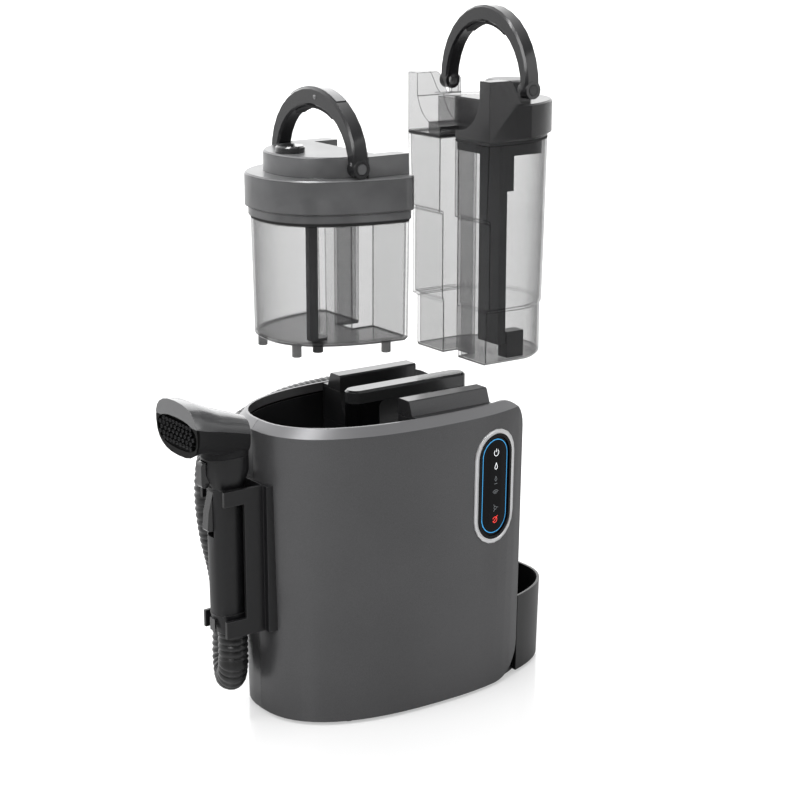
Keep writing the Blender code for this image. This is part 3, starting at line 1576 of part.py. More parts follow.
def make_dirty_tank_shell():
    outer = dirty_levels(0)
    first = dirty_plan(DIRTY_LOW_INSET + TANK_WALL, DIRTY_LOW_SIDE - TANK_WALL, DIRTY_LOW_FACE)
    shell = loft(
        "dirty_tank_shell",
        [at_height(first, DIRTY_BOTTOM)] + [at_height(plan, z) for plan, z in outer],
    )
    hollow_levels = dirty_levels(TANK_WALL)
    rings = [at_height(plan, z) for plan, z in hollow_levels]
    top_plan = hollow_levels[-1][0]
    inner = loft("dirty_inner", rings + [at_height(top_plan, DIRTY_SHELL_TOP + OVERRUN)])
    cut(shell, inner)
    return finish_piece(shell, "smoke")


def make_dirty_tank_seal():
    outer = dirty_plan(DIRTY_TOP_INSET, DIRTY_TOP_SIDE, DIRTY_FACE)
    inner = dirty_plan(DIRTY_TOP_INSET, DIRTY_TOP_SIDE, DIRTY_FACE, TANK_WALL)
    return seal_band("dirty_tank_seal", outer, inner, DIRTY_SHELL_TOP + FIT)


def ear_profile():
    """Side view of an ear: level on top, then an S-curve down to the lid."""
    low = DIRTY_LID_TOP - LID_SKIN
    right = DIRTY_FACE + EAR_LENGTH
    points = [(DIRTY_FACE, low), (DIRTY_FACE, SHOULDER_TOP)]
    steps = 8
    for i in range(steps + 1):
        share = i / steps
        drop = (1 - math.cos(math.pi * share)) / 2
        x = right + EAR_SLOPE * share
        points.append((x, SHOULDER_TOP - (SHOULDER_TOP - DIRTY_LID_TOP) * drop))
    return points + [(right + EAR_SLOPE, low)]


def make_dirty_tank_lid():
    bottom = DIRTY_SHELL_TOP + SEAL_HEIGHT + 2 * FIT
    side = DIRTY_TOP_SIDE
    flange = dirty_plan(DIRTY_TOP_INSET, side, DIRTY_FACE)
    wide = dirty_plan(DIRTY_TOP_INSET, side, DIRTY_FACE, 0, DIRTY_LID_PROUD)
    edge = dirty_plan(DIRTY_TOP_INSET, side, DIRTY_FACE, 0, DIRTY_LID_PROUD - LID_EDGE)
    lid = loft(
        "dirty_tank_lid",
        [
            at_height(flange, bottom),
            at_height(flange, bottom + DIRTY_FLANGE_HEIGHT - LID_EDGE),
            at_height(wide, bottom + DIRTY_FLANGE_HEIGHT),
            at_height(wide, DIRTY_LID_TOP - LID_EDGE),
            at_height(edge, DIRTY_LID_TOP),
        ],
    )
    for name, turn in (("dirty_ear_front", -1), ("dirty_ear_rear", 1)):
        near, far = sorted((turn * SHOULDER_INNER, turn * side))
        fuse(lid, side_slab(name, ear_profile(), near, far))
    saddle = end_slab(
        "dirty_saddle",
        well_outline(0, SHOULDER_TOP + OVERRUN),
        DIRTY_FACE - OVERRUN,
        SADDLE_END,
    )
    cut(lid, saddle)
    pocket_plan = dirty_plan(DIRTY_TOP_INSET, side, SADDLE_END, LID_SKIN)
    pocket = slab(
        "dirty_lid_pocket",
        [(max(x, SADDLE_END + LID_SKIN), y) for x, y in pocket_plan[:-4]],
        bottom - OVERRUN,
        DIRTY_LID_TOP - LID_SKIN,
    )
    cut(lid, pocket)
    for name, turn in (("dirty_lug_front", -1), ("dirty_lug_rear", 1)):
        outer = DIRTY_BAIL_OUTER - DIRTY_BAIL_FOOT - TANK_GAP
        near, far = sorted((turn * (outer - LUG_THICKNESS), turn * outer))
        half = LUG_HALF_WIDTH
        lug_plate = [
            (DIRTY_BAIL_X - half, DIRTY_LID_TOP - LID_SKIN / 2),
            (DIRTY_BAIL_X + half, DIRTY_LID_TOP - LID_SKIN / 2),
        ] + arc_points(DIRTY_BAIL_X, BAIL_Z, half, 0, math.pi, 10)
        boss = along_y(
            name + "_pivot",
            DIRTY_BAIL_X,
            BAIL_Z,
            BAIL_BOSS_RADIUS,
            turn * (outer - LUG_THICKNESS / 2),
            turn * (DIRTY_BAIL_OUTER + FIT),
        )
        fuse(lid, side_slab(name, lug_plate, near, far), boss)
    vent = turned(
        "dirty_lid_vent",
        DIRTY_CAP_X,
        0,
        [
            (FILLER_HOLE_RADIUS, bottom),
            (FILLER_HOLE_RADIUS, DIRTY_LID_TOP + OVERRUN),
        ],
    )
    cut(lid, vent)
    return finish_piece(lid, "lid_grey")


def make_dirty_cap():
    """Ribbed turning cap on the lid."""
    low = DIRTY_LID_TOP + FIT
    high = low + DIRTY_CAP_HEIGHT
    steps = 2 * DIRTY_CAP_RIBS
    wavy = []
    for i in range(steps):
        turn = 2 * math.pi * i / steps
        radius = DIRTY_CAP_RADIUS - (DIRTY_CAP_RIB if i % 2 else 0)
        wavy.append((DIRTY_CAP_X + radius * math.cos(turn), radius * math.sin(turn)))
    small = circle(DIRTY_CAP_X, 0, DIRTY_CAP_RADIUS - 2 * LID_EDGE, steps)
    cap = loft(
        "dirty_cap", [at_height(wavy, low), at_height(wavy, high - LID_EDGE), at_height(small, high)]
    )
    return finish_piece(cap, "black")


def make_separator():
    """Block under the lid that turns the air, with its tab and the float's stem."""
    ceiling = DIRTY_LID_TOP - LID_SKIN - FIT
    separator = block(
        "separator",
        (SEPARATOR_LEFT, -SEPARATOR_HALF_WIDTH, SEPARATOR_BOTTOM),
        (SEPARATOR_RIGHT, SEPARATOR_HALF_WIDTH, ceiling),
    )
    tab = block(
        "separator_tab",
        (SEPARATOR_LEFT, -SEPARATOR_HALF_WIDTH, SEPARATOR_TAB_BOTTOM),
        (
            SEPARATOR_LEFT + SEPARATOR_TAB_WIDTH,
            -SEPARATOR_HALF_WIDTH + SEPARATOR_TAB_DEPTH,
            SEPARATOR_BOTTOM + SEPARATOR_TAB_DEPTH,
        ),
    )
    foot_top = FLOAT_FOOT_BOTTOM + FLOAT_FOOT_HEIGHT
    stem = turned(
        "float_stem",
        FLOAT_X,
        FLOAT_Y,
        [
            (FLOAT_FOOT_RADIUS, FLOAT_FOOT_BOTTOM),
            (FLOAT_FOOT_RADIUS, foot_top),
            (FLOAT_STEM_RADIUS, foot_top),
            (FLOAT_STEM_RADIUS, SEPARATOR_BOTTOM + SEPARATOR_TAB_DEPTH),
        ],
        ROUND_STEPS // 2,
    )
    fuse(separator, tab, stem)
    return finish_piece(separator, "black")


def make_float():
    low = FLOAT_FOOT_BOTTOM + FLOAT_FOOT_HEIGHT + FIT
    bore = FLOAT_STEM_RADIUS + FIT
    ring = turned_hoop(
        "dirty_float",
        FLOAT_X,
        FLOAT_Y,
        [
            (FLOAT_RADIUS, low),
            (FLOAT_RADIUS, low + FLOAT_HEIGHT),
            (bore, low + FLOAT_HEIGHT),
            (bore, low),
        ],
        ROUND_STEPS // 2,
    )
    return finish_piece(ring, "white_float")


def make_inlet_duct():
    """Flat duct that brings the dirty water down the column's side of the tank."""
    top = DIRTY_SHELL_TOP + SEAL_HEIGHT + FIT
    duct = block("dirty_inlet_duct", (DUCT_LEFT, DUCT_FRONT, DUCT_BOTTOM), (DUCT_RIGHT, DUCT_BACK, top))
    bore = block(
        "duct_bore",
        (DUCT_LEFT + DUCT_WALL, DUCT_FRONT + DUCT_WALL, DUCT_BOTTOM - OVERRUN),
        (DUCT_RIGHT - DUCT_WALL, DUCT_BACK - DUCT_WALL, top - DUCT_WALL),
    )
    cut(duct, bore)
    return finish_piece(duct, "black")


def make_valve_box():
    low = DIRTY_BOTTOM + DIRTY_STEP_RUN + FIT
    box = block(
        "dirty_valve_box",
        (VALVE_BOX_LEFT, VALVE_BOX_FRONT, low),
        (
            VALVE_BOX_LEFT + VALVE_BOX_WIDTH,
            VALVE_BOX_FRONT + VALVE_BOX_DEPTH,
            low + VALVE_BOX_HEIGHT,
        ),
    )
    return finish_piece(box, "black")


# Cradle and hand tool


def make_cradle():
    """Two cheek plates with arms, on a pad that follows the body's round end."""
    half = CRADLE_PAD_HALF_WIDTH
    cradle = block(
        "cradle_bracket",
        (CRADLE_PAD_LEFT, -half, CRADLE_BOTTOM),
        (CRADLE_PAD_LEFT + OVERRUN, half, CRADLE_TOP),
    )
    plate_outline = [
        (CRADLE_PAD_LEFT + OVERRUN / 2, CRADLE_BOTTOM),
        (CRADLE_PAD_LEFT + OVERRUN / 2, CRADLE_TOP),
        (CRADLE_ARM_LEFT, CRADLE_TOP),
        (CRADLE_ARM_LEFT, CRADLE_TOP - CRADLE_TOP_ARM),
        (CRADLE_STRIP_LEFT, CRADLE_TOP - CRADLE_TOP_ARM),
        (CRADLE_STRIP_LEFT, CRADLE_BOTTOM + CRADLE_BOTTOM_ARM),
        (CRADLE_ARM_LEFT, CRADLE_BOTTOM + CRADLE_BOTTOM_ARM),
        (CRADLE_ARM_LEFT, CRADLE_BOTTOM),
    ]
    for name, side in (("cradle_cheek_front", -1), ("cradle_cheek_rear", 1)):
        near, far = sorted((side * CRADLE_INNER, side * (CRADLE_INNER + CRADLE_PLATE)))
        fuse(cradle, side_slab(name, plate_outline, near, far))
        inner = GRIP_HALF_WIDTH + FIT
        near, far = sorted((side * inner, side * (CRADLE_INNER + CRADLE_PLATE / 2)))
        rib = block(
            name + "_rib",
            (CRADLE_RIB_LEFT, near, CRADLE_TOP - CRADLE_TOP_ARM),
            (CRADLE_RIB_RIGHT, far, GRIP_TOP - RUNNING_GAP),
        )
        fuse(cradle, rib)
    body = body_loft("cradle_seat", -FIT, CRADLE_BOTTOM - OVERRUN, CRADLE_TOP + OVERRUN)
    cut(cradle, body)
    return finish_piece(cradle, "black")


def tool_ring(x, z, half_depth, half_width):
    """A level section of the hand tool."""
    plan = oval(half_depth, half_width, TOOL_STEPS, TOOL_POWER)
    return [(x + u, v, z) for u, v in plan]


def make_cuff():
    cuff = loft(
        "hose_cuff",
        [
            tool_ring(HOSE_X, CUFF_BOTTOM, CUFF_RADIUS - GRIP_BULGE, CUFF_RADIUS - GRIP_BULGE),
            tool_ring(HOSE_X, CUFF_BOTTOM + GRIP_BULGE, CUFF_RADIUS, CUFF_RADIUS),
            tool_ring(TOOL_X, CUFF_TOP, GRIP_HALF_DEPTH + FIT, GRIP_HALF_WIDTH + FIT),
        ],
    )
    return finish_piece(cuff, "black")


def make_grip():
    """Grip of the hand tool, with the slot that the trigger swings in."""
    low = CUFF_TOP + FIT
    middle = (low + GRIP_TOP) / 2
    grip = loft(
        "handset_grip",
        [
            tool_ring(TOOL_X, low, GRIP_HALF_DEPTH, GRIP_HALF_WIDTH),
            tool_ring(TOOL_X, middle, GRIP_HALF_DEPTH + GRIP_BULGE, GRIP_HALF_WIDTH),
            tool_ring(TOOL_X, GRIP_TOP, GRIP_HALF_DEPTH + GRIP_BULGE, GRIP_HALF_WIDTH),
        ],
    )
    half = TRIGGER_HALF_WIDTH + TRIGGER_SLOT_GAP
    slot = block(
        "trigger_slot",
        (TOOL_X - GRIP_HALF_DEPTH - OVERRUN, -half, TRIGGER_BOTTOM - TRIGGER_THICKNESS),
        (TRIGGER_ROOT_X + TRIGGER_THICKNESS, half, TRIGGER_TOP + TRIGGER_SLOT_GAP),
    )
    cut(grip, slot)
    pin = along_y(
        "trigger_pin", TRIGGER_PIVOT_X, TRIGGER_PIVOT_Z, PIN_RADIUS, -half - FIT, half + FIT, PIN_STEPS
    )
    fuse(grip, pin)
    return finish_piece(grip, "black")


def make_trigger():
    outline = [
        (TRIGGER_ROOT_X + TRIGGER_THICKNESS / 2, TRIGGER_TOP),
        (TRIGGER_ROOT_X - TRIGGER_THICKNESS, TRIGGER_TOP),
        (TRIGGER_TIP_X + TRIGGER_THICKNESS / 4, (TRIGGER_TOP + TRIGGER_BOTTOM) / 2),
        (TRIGGER_TIP_X, TRIGGER_BOTTOM + TRIGGER_THICKNESS / 4),
        (TRIGGER_TIP_X + TRIGGER_THICKNESS / 4, TRIGGER_BOTTOM),
        (TRIGGER_TIP_X + TRIGGER_THICKNESS, TRIGGER_BOTTOM),
        (TRIGGER_ROOT_X, (TRIGGER_TOP + TRIGGER_BOTTOM) / 2),
    ]
    trigger = side_slab("steam_trigger", outline, -TRIGGER_HALF_WIDTH, TRIGGER_HALF_WIDTH)
    bore = along_y(
        "trigger_bore",
        TRIGGER_PIVOT_X,
        TRIGGER_PIVOT_Z,
        PIN_RADIUS + FIT,
        -OVERRUN,
        OVERRUN,
        PIN_STEPS,
    )
    cut(trigger, bore)
    return finish_piece(trigger, "gloss_black")


def make_neck():
    low = GRIP_TOP + FIT
    neck = loft(
        "handset_neck",
        [
            tool_ring(TOOL_X, low, GRIP_HALF_DEPTH + GRIP_BULGE, GRIP_HALF_WIDTH),
            tool_ring(TOOL_X, (low + NECK_TOP) / 2, NECK_HALF_DEPTH, NECK_HALF_WIDTH),
            tool_ring(TOOL_X, NECK_TOP, NECK_HALF_DEPTH, NECK_HALF_WIDTH),
        ],
    )
    half = LEVER_HALF_WIDTH + TRIGGER_SLOT_GAP
    pocket_right = LEVER_LEFT + LEVER_THICKNESS + LEVER_POCKET
    pocket = block(
        "lever_pocket",
        (LEVER_LEFT - OVERRUN, -half, LEVER_BOTTOM - TRIGGER_SLOT_GAP),
        (pocket_right, half, LEVER_TOP + TRIGGER_SLOT_GAP),
    )
    cut(neck, pocket)
    height = LEVER_TOP - LEVER_THICKNESS / 2
    reach = half + FIT
    pin = along_y("lever_pin", LEVER_PIVOT_X, height, PIN_RADIUS, -reach, reach, PIN_STEPS)
    fuse(neck, pin)
    return finish_piece(neck, "black")


def make_lever():
    """Release lever on the front of the neck."""
    radius = LEVER_THICKNESS / 2
    top = arc_points(LEVER_LEFT + radius, LEVER_TOP - radius, radius, 0, math.pi, 6)
    bottom = arc_points(LEVER_LEFT + radius, LEVER_BOTTOM + radius, radius, math.pi, 2 * math.pi, 6)
    lever = side_slab("release_lever", top + bottom, -LEVER_HALF_WIDTH, LEVER_HALF_WIDTH)
    height = LEVER_TOP - radius
    bore = along_y(
        "lever_bore", LEVER_PIVOT_X, height, PIN_RADIUS + FIT, -OVERRUN, OVERRUN, PIN_STEPS
    )
    cut(lever, bore)
    return finish_piece(lever, "gloss_black")


def make_latch():
    """Catch that holds the hose's cuff on the grip."""
    left = TOOL_X - CUFF_RADIUS - LATCH_PROUD
    latch = block(
        "cuff_latch",
        (left, -LATCH_HALF_WIDTH, LATCH_BOTTOM),
        (TOOL_X - CUFF_RADIUS + GRIP_BULGE, LATCH_HALF_WIDTH, LATCH_TOP),
    )
    cuff_room = loft(
        "latch_seat",
        [
            tool_ring(HOSE_X, CUFF_BOTTOM + GRIP_BULGE, CUFF_RADIUS + FIT, CUFF_RADIUS + FIT),
            tool_ring(TOOL_X, CUFF_TOP, GRIP_HALF_DEPTH + 2 * FIT, GRIP_HALF_WIDTH + 2 * FIT),
        ],
    )
    cut(latch, cuff_room)
    return finish_piece(latch, "gloss_black")


def face_axes():
    """The brush face's directions: down its height, and back into the head."""
    down = Vector((math.sin(FACE_TILT), 0, -math.cos(FACE_TILT)))
    back = Vector((math.cos(FACE_TILT), 0, math.sin(FACE_TILT)))
    return down, back


def face_ring(back_by, inset):
    """An oval parallel to the brush face, some way behind it."""
    down, back = face_axes()
    centre = Vector((FACE_X, 0, FACE_Z)) + back * back_by
    plan = oval(FACE_HALF_HEIGHT - inset, FACE_HALF_WIDTH - inset, TOOL_STEPS, TOOL_POWER)
    return [centre + down * u + Vector((0, v, 0)) for u, v in plan]


def upright_ring(x, z, half_height, half_width):
    plan = oval(half_height, half_width, TOOL_STEPS, TOOL_POWER)
    return [(x, v, z - u) for u, v in plan]


def head_form(name):
    """The whole head before it is split into its cover and its lower half."""
    form = loft(
        name,
        [
            face_ring(0, 0),
            face_ring(HEAD_SHOULDER_BACK, FACE_EDGE),
            upright_ring(HEAD_MID_X, HEAD_MID_Z, HEAD_MID_HALF_HEIGHT, HEAD_MID_HALF_WIDTH),
            upright_ring(HEAD_END_X, HEAD_END_Z, HEAD_END_HALF_HEIGHT, HEAD_END_HALF_WIDTH),
        ],
    )
    pocket = loft(name + "_pocket", [brush_ring(-OVERRUN, 0), brush_ring(BRUSH_POCKET, 0)])
    cut(form, pocket)
    return form


def brush_ring(back_by, inset):
    """The brush's oval, which sits low in the face."""
    down, back = face_axes()
    centre = Vector((FACE_X, 0, FACE_Z)) + back * back_by + down * BRUSH_DROP
    plan = oval(BRUSH_HALF_HEIGHT - inset, BRUSH_HALF_WIDTH - inset, TOOL_STEPS, TOOL_POWER)
    return [centre + down * u + Vector((0, v, 0)) for u, v in plan]


def split_outline(above, gap):
    """Side view of the region above or below the line between cover and lower head."""
    left = FACE_X - OVERRUN
    right = HEAD_END_X + OVERRUN
    start = HEAD_SPLIT_Z + gap
    end = start - (right - HEAD_SPLIT_X) * HEAD_SPLIT_DROP / HEAD_SPLIT_RUN
    limit = FACE_Z + 2 * FACE_HALF_HEIGHT if above else NECK_TOP - OVERRUN
    return [(left, start), (HEAD_SPLIT_X, start), (right, end), (right, limit), (left, limit)]


def make_head_cover():
    cover = head_form("handset_cover")
    reach = FACE_HALF_WIDTH + OVERRUN
    region = side_slab("cover_region", split_outline(True, FIT / 2), -reach, reach)
    keep(cover, region)
    return finish_piece(cover, "lid_grey")


def make_head_lower():
    lower = head_form("handset_head")
    reach = FACE_HALF_WIDTH + OVERRUN
    region = side_slab("lower_region", split_outline(False, -FIT / 2), -reach, reach)
    socket = loft(
        "head_socket",
        [
            tool_ring(TOOL_X, NECK_TOP + FIT, NECK_HALF_DEPTH, NECK_HALF_WIDTH),
            tool_ring(TOOL_X, HEAD_SOCKET_TOP, NECK_HALF_DEPTH, HEAD_END_HALF_WIDTH),
        ],
    )
    keep(lower, region)
    fuse(lower, socket)
    return finish_piece(lower, "black")


def make_brush():
    """Brush plate whose front is a triangle grid with a bristle on every second triangle."""
    down, back = face_axes()
    centre = Vector((FACE_X, 0, FACE_Z)) + back * (BRUSH_POCKET - FIT) + down * BRUSH_DROP
    half_height = BRUSH_HALF_HEIGHT - BRUSH_CLEARANCE
    half_width = BRUSH_HALF_WIDTH - BRUSH_CLEARANCE
    rows = BRUSH_ROWS
    columns = BRUSH_COLUMNS
    front, rear, faces = [], [], []
    for row in range(rows + 1):
        u = half_height * BRUSH_ROW_SHARE * (2 * row / rows - 1)
        reach = half_width * (1 - (abs(u) / half_height) ** TOOL_POWER) ** (1 / TOOL_POWER)
        for column in range(columns + 1):
            v = reach * (2 * column / columns - 1)
            place = centre + down * u + Vector((0, v, 0))
            front.append(place - back * BRUSH_BASE)
            rear.append(place)
    vertices = front + rear
    across = columns + 1
    total = len(front)
    for row in range(rows):
        for column in range(columns):
            a = row * across + column
            b, c, d = a + 1, a + across + 1, a + across
            faces.append((a, c, d))
            corners = [vertices[i] for i in (a, b, c)]
            middle = sum(corners, Vector()) / 3
            tip = len(vertices)
            vertices.append(middle - back * BRISTLE_LENGTH)
            faces += [(a, b, tip), (b, c, tip), (c, a, tip)]
    edge = (
        [i for i in range(across)]
        + [r * across + columns for r in range(1, rows + 1)]
        + [rows * across + c for c in range(columns - 1, -1, -1)]
        + [r * across for r in range(rows - 1, 0, -1)]
    )
    for i, j in zip(edge, edge[1:] + edge[:1]):
        faces.append((i, i + total, j + total, j))
    faces.append(tuple(i + total for i in edge))
    used = sorted({i for face in faces for i in face})
    index = {old: new for new, old in enumerate(used)}
    brush = body_from(
        "brush_bristles",
        [vertices[i] for i in used],
        [tuple(index[i] for i in face) for face in faces],
    )
    return finish_piece(brush, "black")


# Hose, port and hooks


def smooth_route(points, spacing):
    """Evenly spaced points on a Catmull-Rom curve through the route."""
    places = [Vector(p) for p in points]
    fine = []
    divisions = 24
    for i in range(len(places) - 1):
        before = places[max(i - 1, 0)]
        here, there = places[i], places[i + 1]
        after = places[min(i + 2, len(places) - 1)]
        for k in range(divisions):
            t = k / divisions
            fine.append(
                0.5
                * (
                    2 * here
                    + (there - before) * t
                    + (2 * before - 5 * here + 4 * there - after) * t * t
                    + (3 * here - before - 3 * there + after) * t * t * t
                )
            )
    fine.append(places[-1])
    lengths = [0.0]
    for one, two in zip(fine, fine[1:]):
        lengths.append(lengths[-1] + (two - one).length)
    count = max(int(lengths[-1] / spacing), 2)
    result, k = [], 0
    for i in range(count + 1):
        target = lengths[-1] * i / count
        while k < len(lengths) - 2 and lengths[k + 1] < target:
            k += 1
        share = (target - lengths[k]) / (lengths[k + 1] - lengths[k])
        result.append(fine[k].lerp(fine[k + 1], share))
    return result, lengths[-1]


def tube_curve(name, points, radii, resolution, depth):
    """A round tube along points, each with its own share of the tube's radius."""
    data = bpy.data.curves.new(name, "CURVE")
    data.dimensions = "3D"
    data.bevel_depth = depth
    data.bevel_resolution = resolution
    data.use_fill_caps = True
    data.twist_mode = "MINIMUM"
    spline = data.splines.new("POLY")
    spline.points.add(len(points) - 1)
    for target, place, share in zip(spline.points, points, radii):
        target.co = (*place, 1.0)
        target.radius = share
    made = bpy.data.objects.new(name, data)
    bpy.context.scene.collection.objects.link(made)
    return made


def as_mesh(curve, name):
    """A curve's tube as a mesh object, so that Booleans can use it."""
    graph = bpy.context.evaluated_depsgraph_get()
    mesh = bpy.data.meshes.new_from_object(curve.evaluated_get(graph))
    bpy.data.objects.remove(curve, do_unlink=True)
    made = bpy.data.objects.new(name, mesh)
    bpy.context.scene.collection.objects.link(made)
    work = bmesh.new()
    work.from_mesh(mesh)
    bmesh.ops.remove_doubles(work, verts=work.verts, dist=FIT / 10)
    bmesh.ops.recalc_face_normals(work, faces=work.faces)
    work.to_mesh(mesh)
    work.free()
    return made


def fitted_route():
    """The hose's route, which keeps its place beside the hand tool and behind the back."""
    route = []
    for x, y, z in HOSE_ROUTE:
        outside = min(x + ROUTE_HALF_LENGTH, 0.0)
        behind = max(y - ROUTE_HALF_WIDTH, 0.0)
        along = (x - outside) * BODY_HALF_LENGTH / ROUTE_HALF_LENGTH
        across = (y - behind) * BODY_HALF_WIDTH / ROUTE_HALF_WIDTH
        route.append((along + outside, across + behind, z))
    return route


def make_hose():
    """Ribbed suction hose with its bore, its ends plain for one diameter."""
    radius = HOSE_DIAMETER / 2
    route = fitted_route()
    _, length = smooth_route(route, HOSE_BORE_PITCH)
    half_pitch = max(HOSE_PITCH, length / HOSE_RIBS_MOST) / 2
    points, length = smooth_route(route, half_pitch)
    valley = (radius - HOSE_RIB_DEPTH) / radius
    radii = [1.0 if i % 2 else valley for i in range(len(points))]
    hose = as_mesh(tube_curve("hose_tube", points, radii, 2, radius), "hose")
    bore_points, _ = smooth_route(route, HOSE_BORE_PITCH)
    start = bore_points[0] + (bore_points[0] - bore_points[1]).normalized() * OVERRUN / 2
    end = bore_points[-1] + (bore_points[-1] - bore_points[-2]).normalized() * OVERRUN / 2
    bore_points = [start] + bore_points + [end]
    bore_radius = radius - HOSE_RIB_DEPTH - HOSE_WALL
    bore = as_mesh(
        tube_curve("hose_bore_tube", bore_points, [1.0] * len(bore_points), 2, bore_radius),
        "hose_bore",
    )
    cut(hose, bore)
    print(f"hose length {length:.4f} m, {len(points) // 2} ribs")
    return finish_piece(hose, "black")


def make_hose_port():
    """Elbow on the back that takes the hose from below."""
    mouth = PORT_MOUTH_Z
    port = turned(
        "hose_port",
        PORT_X,
        PORT_Y,
        [
            (PORT_RADIUS, mouth),
            (PORT_RADIUS, mouth + PORT_SLEEVE),
            (PORT_RADIUS - FIT, PORT_Z + PORT_RADIUS - FIT),
        ],
    )
    stub = along_y("port_stub", PORT_X, PORT_Z, PORT_RADIUS - 2 * FIT, BODY_HALF_WIDTH / 2, PORT_Y)
    bore = turned(
        "port_bore",
        PORT_X,
        PORT_Y,
        [
            (HOSE_DIAMETER / 2 - HOSE_WALL, mouth - OVERRUN),
            (HOSE_DIAMETER / 2 - HOSE_WALL, PORT_Z + HOSE_WALL),
        ],
    )
    wall = body_loft("port_seat", -FIT, mouth - OVERRUN, PORT_Z + PORT_RADIUS + OVERRUN)
    fuse(port, stub)
    cut(port, bore, wall)
    return finish_piece(port, "black")


def make_hook(name, x, top):
    """A J-shaped hook on the back that carries the hose."""
    low = top - HOOK_THICKNESS - FIT
    floor = top - FIT
    reach = HOOK_REACH
    outline = [
        (BODY_HALF_WIDTH / 2, low),
        (reach + HOOK_THICKNESS, low),
        (reach + HOOK_THICKNESS, floor + HOOK_LIP),
        (reach, floor + HOOK_LIP),
        (reach, floor),
        (BODY_HALF_WIDTH / 2, floor),
    ]
    hook = end_slab(name, outline, x - HOOK_WIDTH / 2, x + HOOK_WIDTH / 2)
    wall = body_loft(name + "_seat", -FIT, low - OVERRUN, floor + HOOK_LIP + OVERRUN)
    cut(hook, wall)
    return finish_piece(hook, "black")


def make_gland():
    """Bush that the mains lead leaves through."""
    inner = BODY_HALF_WIDTH / 2
    surface = oval_half_width(GLAND_X, BODY_HALF_LENGTH, BODY_HALF_WIDTH)
    gland = along_y("mains_gland", GLAND_X, GLAND_Z, GLAND_RADIUS, inner, surface + GLAND_PROUD)
    wall = body_loft("gland_seat", -FIT, GLAND_Z - OVERRUN, GLAND_Z + OVERRUN)
    cut(gland, wall)
    stem = along_y(
        "gland_stem",
        GLAND_X,
        GLAND_Z,
        GLAND_RADIUS - GLAND_HOLE,
        surface - 3 * COVER_WALL,
        surface + GLAND_PROUD / 2,
        12,
    )
    bore = along_y(
        "gland_bore",
        GLAND_X,
        GLAND_Z,
        GLAND_HOLE / 2,
        inner - OVERRUN,
        surface + GLAND_PROUD + OVERRUN,
        10,
    )
    fuse(gland, stem)
    cut(gland, bore)
    return finish_piece(gland, "rubber")


def make_grille():
    """Slotted exhaust grille set into the rear cover."""
    y = BODY_HALF_WIDTH - COVER_WALL
    low = GRILLE_Z - GRILLE_HALF_HEIGHT
    high = GRILLE_Z + GRILLE_HALF_HEIGHT
    region = block(
        "grille_region",
        (GRILLE_X - GRILLE_HALF_WIDTH, BODY_HALF_WIDTH / 2, low),
        (GRILLE_X + GRILLE_HALF_WIDTH, BODY_HALF_WIDTH + OVERRUN, high),
    )
    band = (low - FOOT_RADIUS, high + FOOT_RADIUS)
    grille = skin_piece("exhaust_grille", GRILLE_SUNK, GRILLE_SUNK + GRILLE_THICKNESS, band, region)
    pitch = (2 * GRILLE_HALF_WIDTH - 2 * GRILLE_MARGIN) / GRILLE_SLOTS
    for i in range(GRILLE_SLOTS):
        left = GRILLE_X - GRILLE_HALF_WIDTH + GRILLE_MARGIN + pitch * i
        slot = block(
            f"grille_slot_{i + 1}",
            (left + pitch * (1 - GRILLE_SLOT_SHARE) / 2, y - OVERRUN, low + GRILLE_MARGIN),
            (left + pitch * (1 + GRILLE_SLOT_SHARE) / 2, y + OVERRUN, high - GRILLE_MARGIN),
        )
        cut(grille, slot)
    return finish_piece(grille, "black")


# Pieces inside the body


def make_motor():
    """Suction motor on its foot, with the shaft that carries the fan."""
    floor = COVER_FOOT + TRAY_FLOOR + FIT
    motor = turned(
        "suction_motor",
        MOTOR_X,
        0,
        [
            (MOTOR_FOOT_RADIUS, floor),
            (MOTOR_FOOT_RADIUS, MOTOR_BOTTOM),
            (MOTOR_RADIUS, MOTOR_BOTTOM),
            (MOTOR_RADIUS, MOTOR_TOP),
            (SHAFT_RADIUS, MOTOR_TOP),
            (SHAFT_RADIUS, SHAFT_TOP),
        ],
    )
    return finish_piece(motor, "steel")


def make_fan():
    """Wheel with straight blades on a plate, turning on the motor's shaft."""
    bore = SHAFT_RADIUS + FIT / 3
    top = FAN_BOTTOM + FAN_PLATE
    fan = turned_hoop(
        "suction_fan",
        MOTOR_X,
        0,
        [
            (FAN_RADIUS, FAN_BOTTOM),
            (FAN_RADIUS, top),
            (FAN_HUB_RADIUS, top),
            (FAN_HUB_RADIUS, top + FAN_BLADE_HEIGHT),
            (bore, top + FAN_BLADE_HEIGHT),
            (bore, FAN_BOTTOM),
        ],
    )
    for i in range(FAN_BLADES):
        turn = 2 * math.pi * i / FAN_BLADES
        blade = block(
            f"fan_blade_{i + 1}",
            (FAN_HUB_RADIUS - FAN_PLATE, -FAN_BLADE_WIDTH / 2, top - FAN_PLATE / 2),
            (FAN_RADIUS - FAN_PLATE, FAN_BLADE_WIDTH / 2, top + FAN_BLADE_HEIGHT - FAN_PLATE / 2),
        )
        spin = Matrix.Translation((MOTOR_X, 0, 0)) @ Matrix.Rotation(turn, 4, "Z")
        blade.data.transform(spin)
        fuse(fan, blade)
    return finish_piece(fan, "steel")


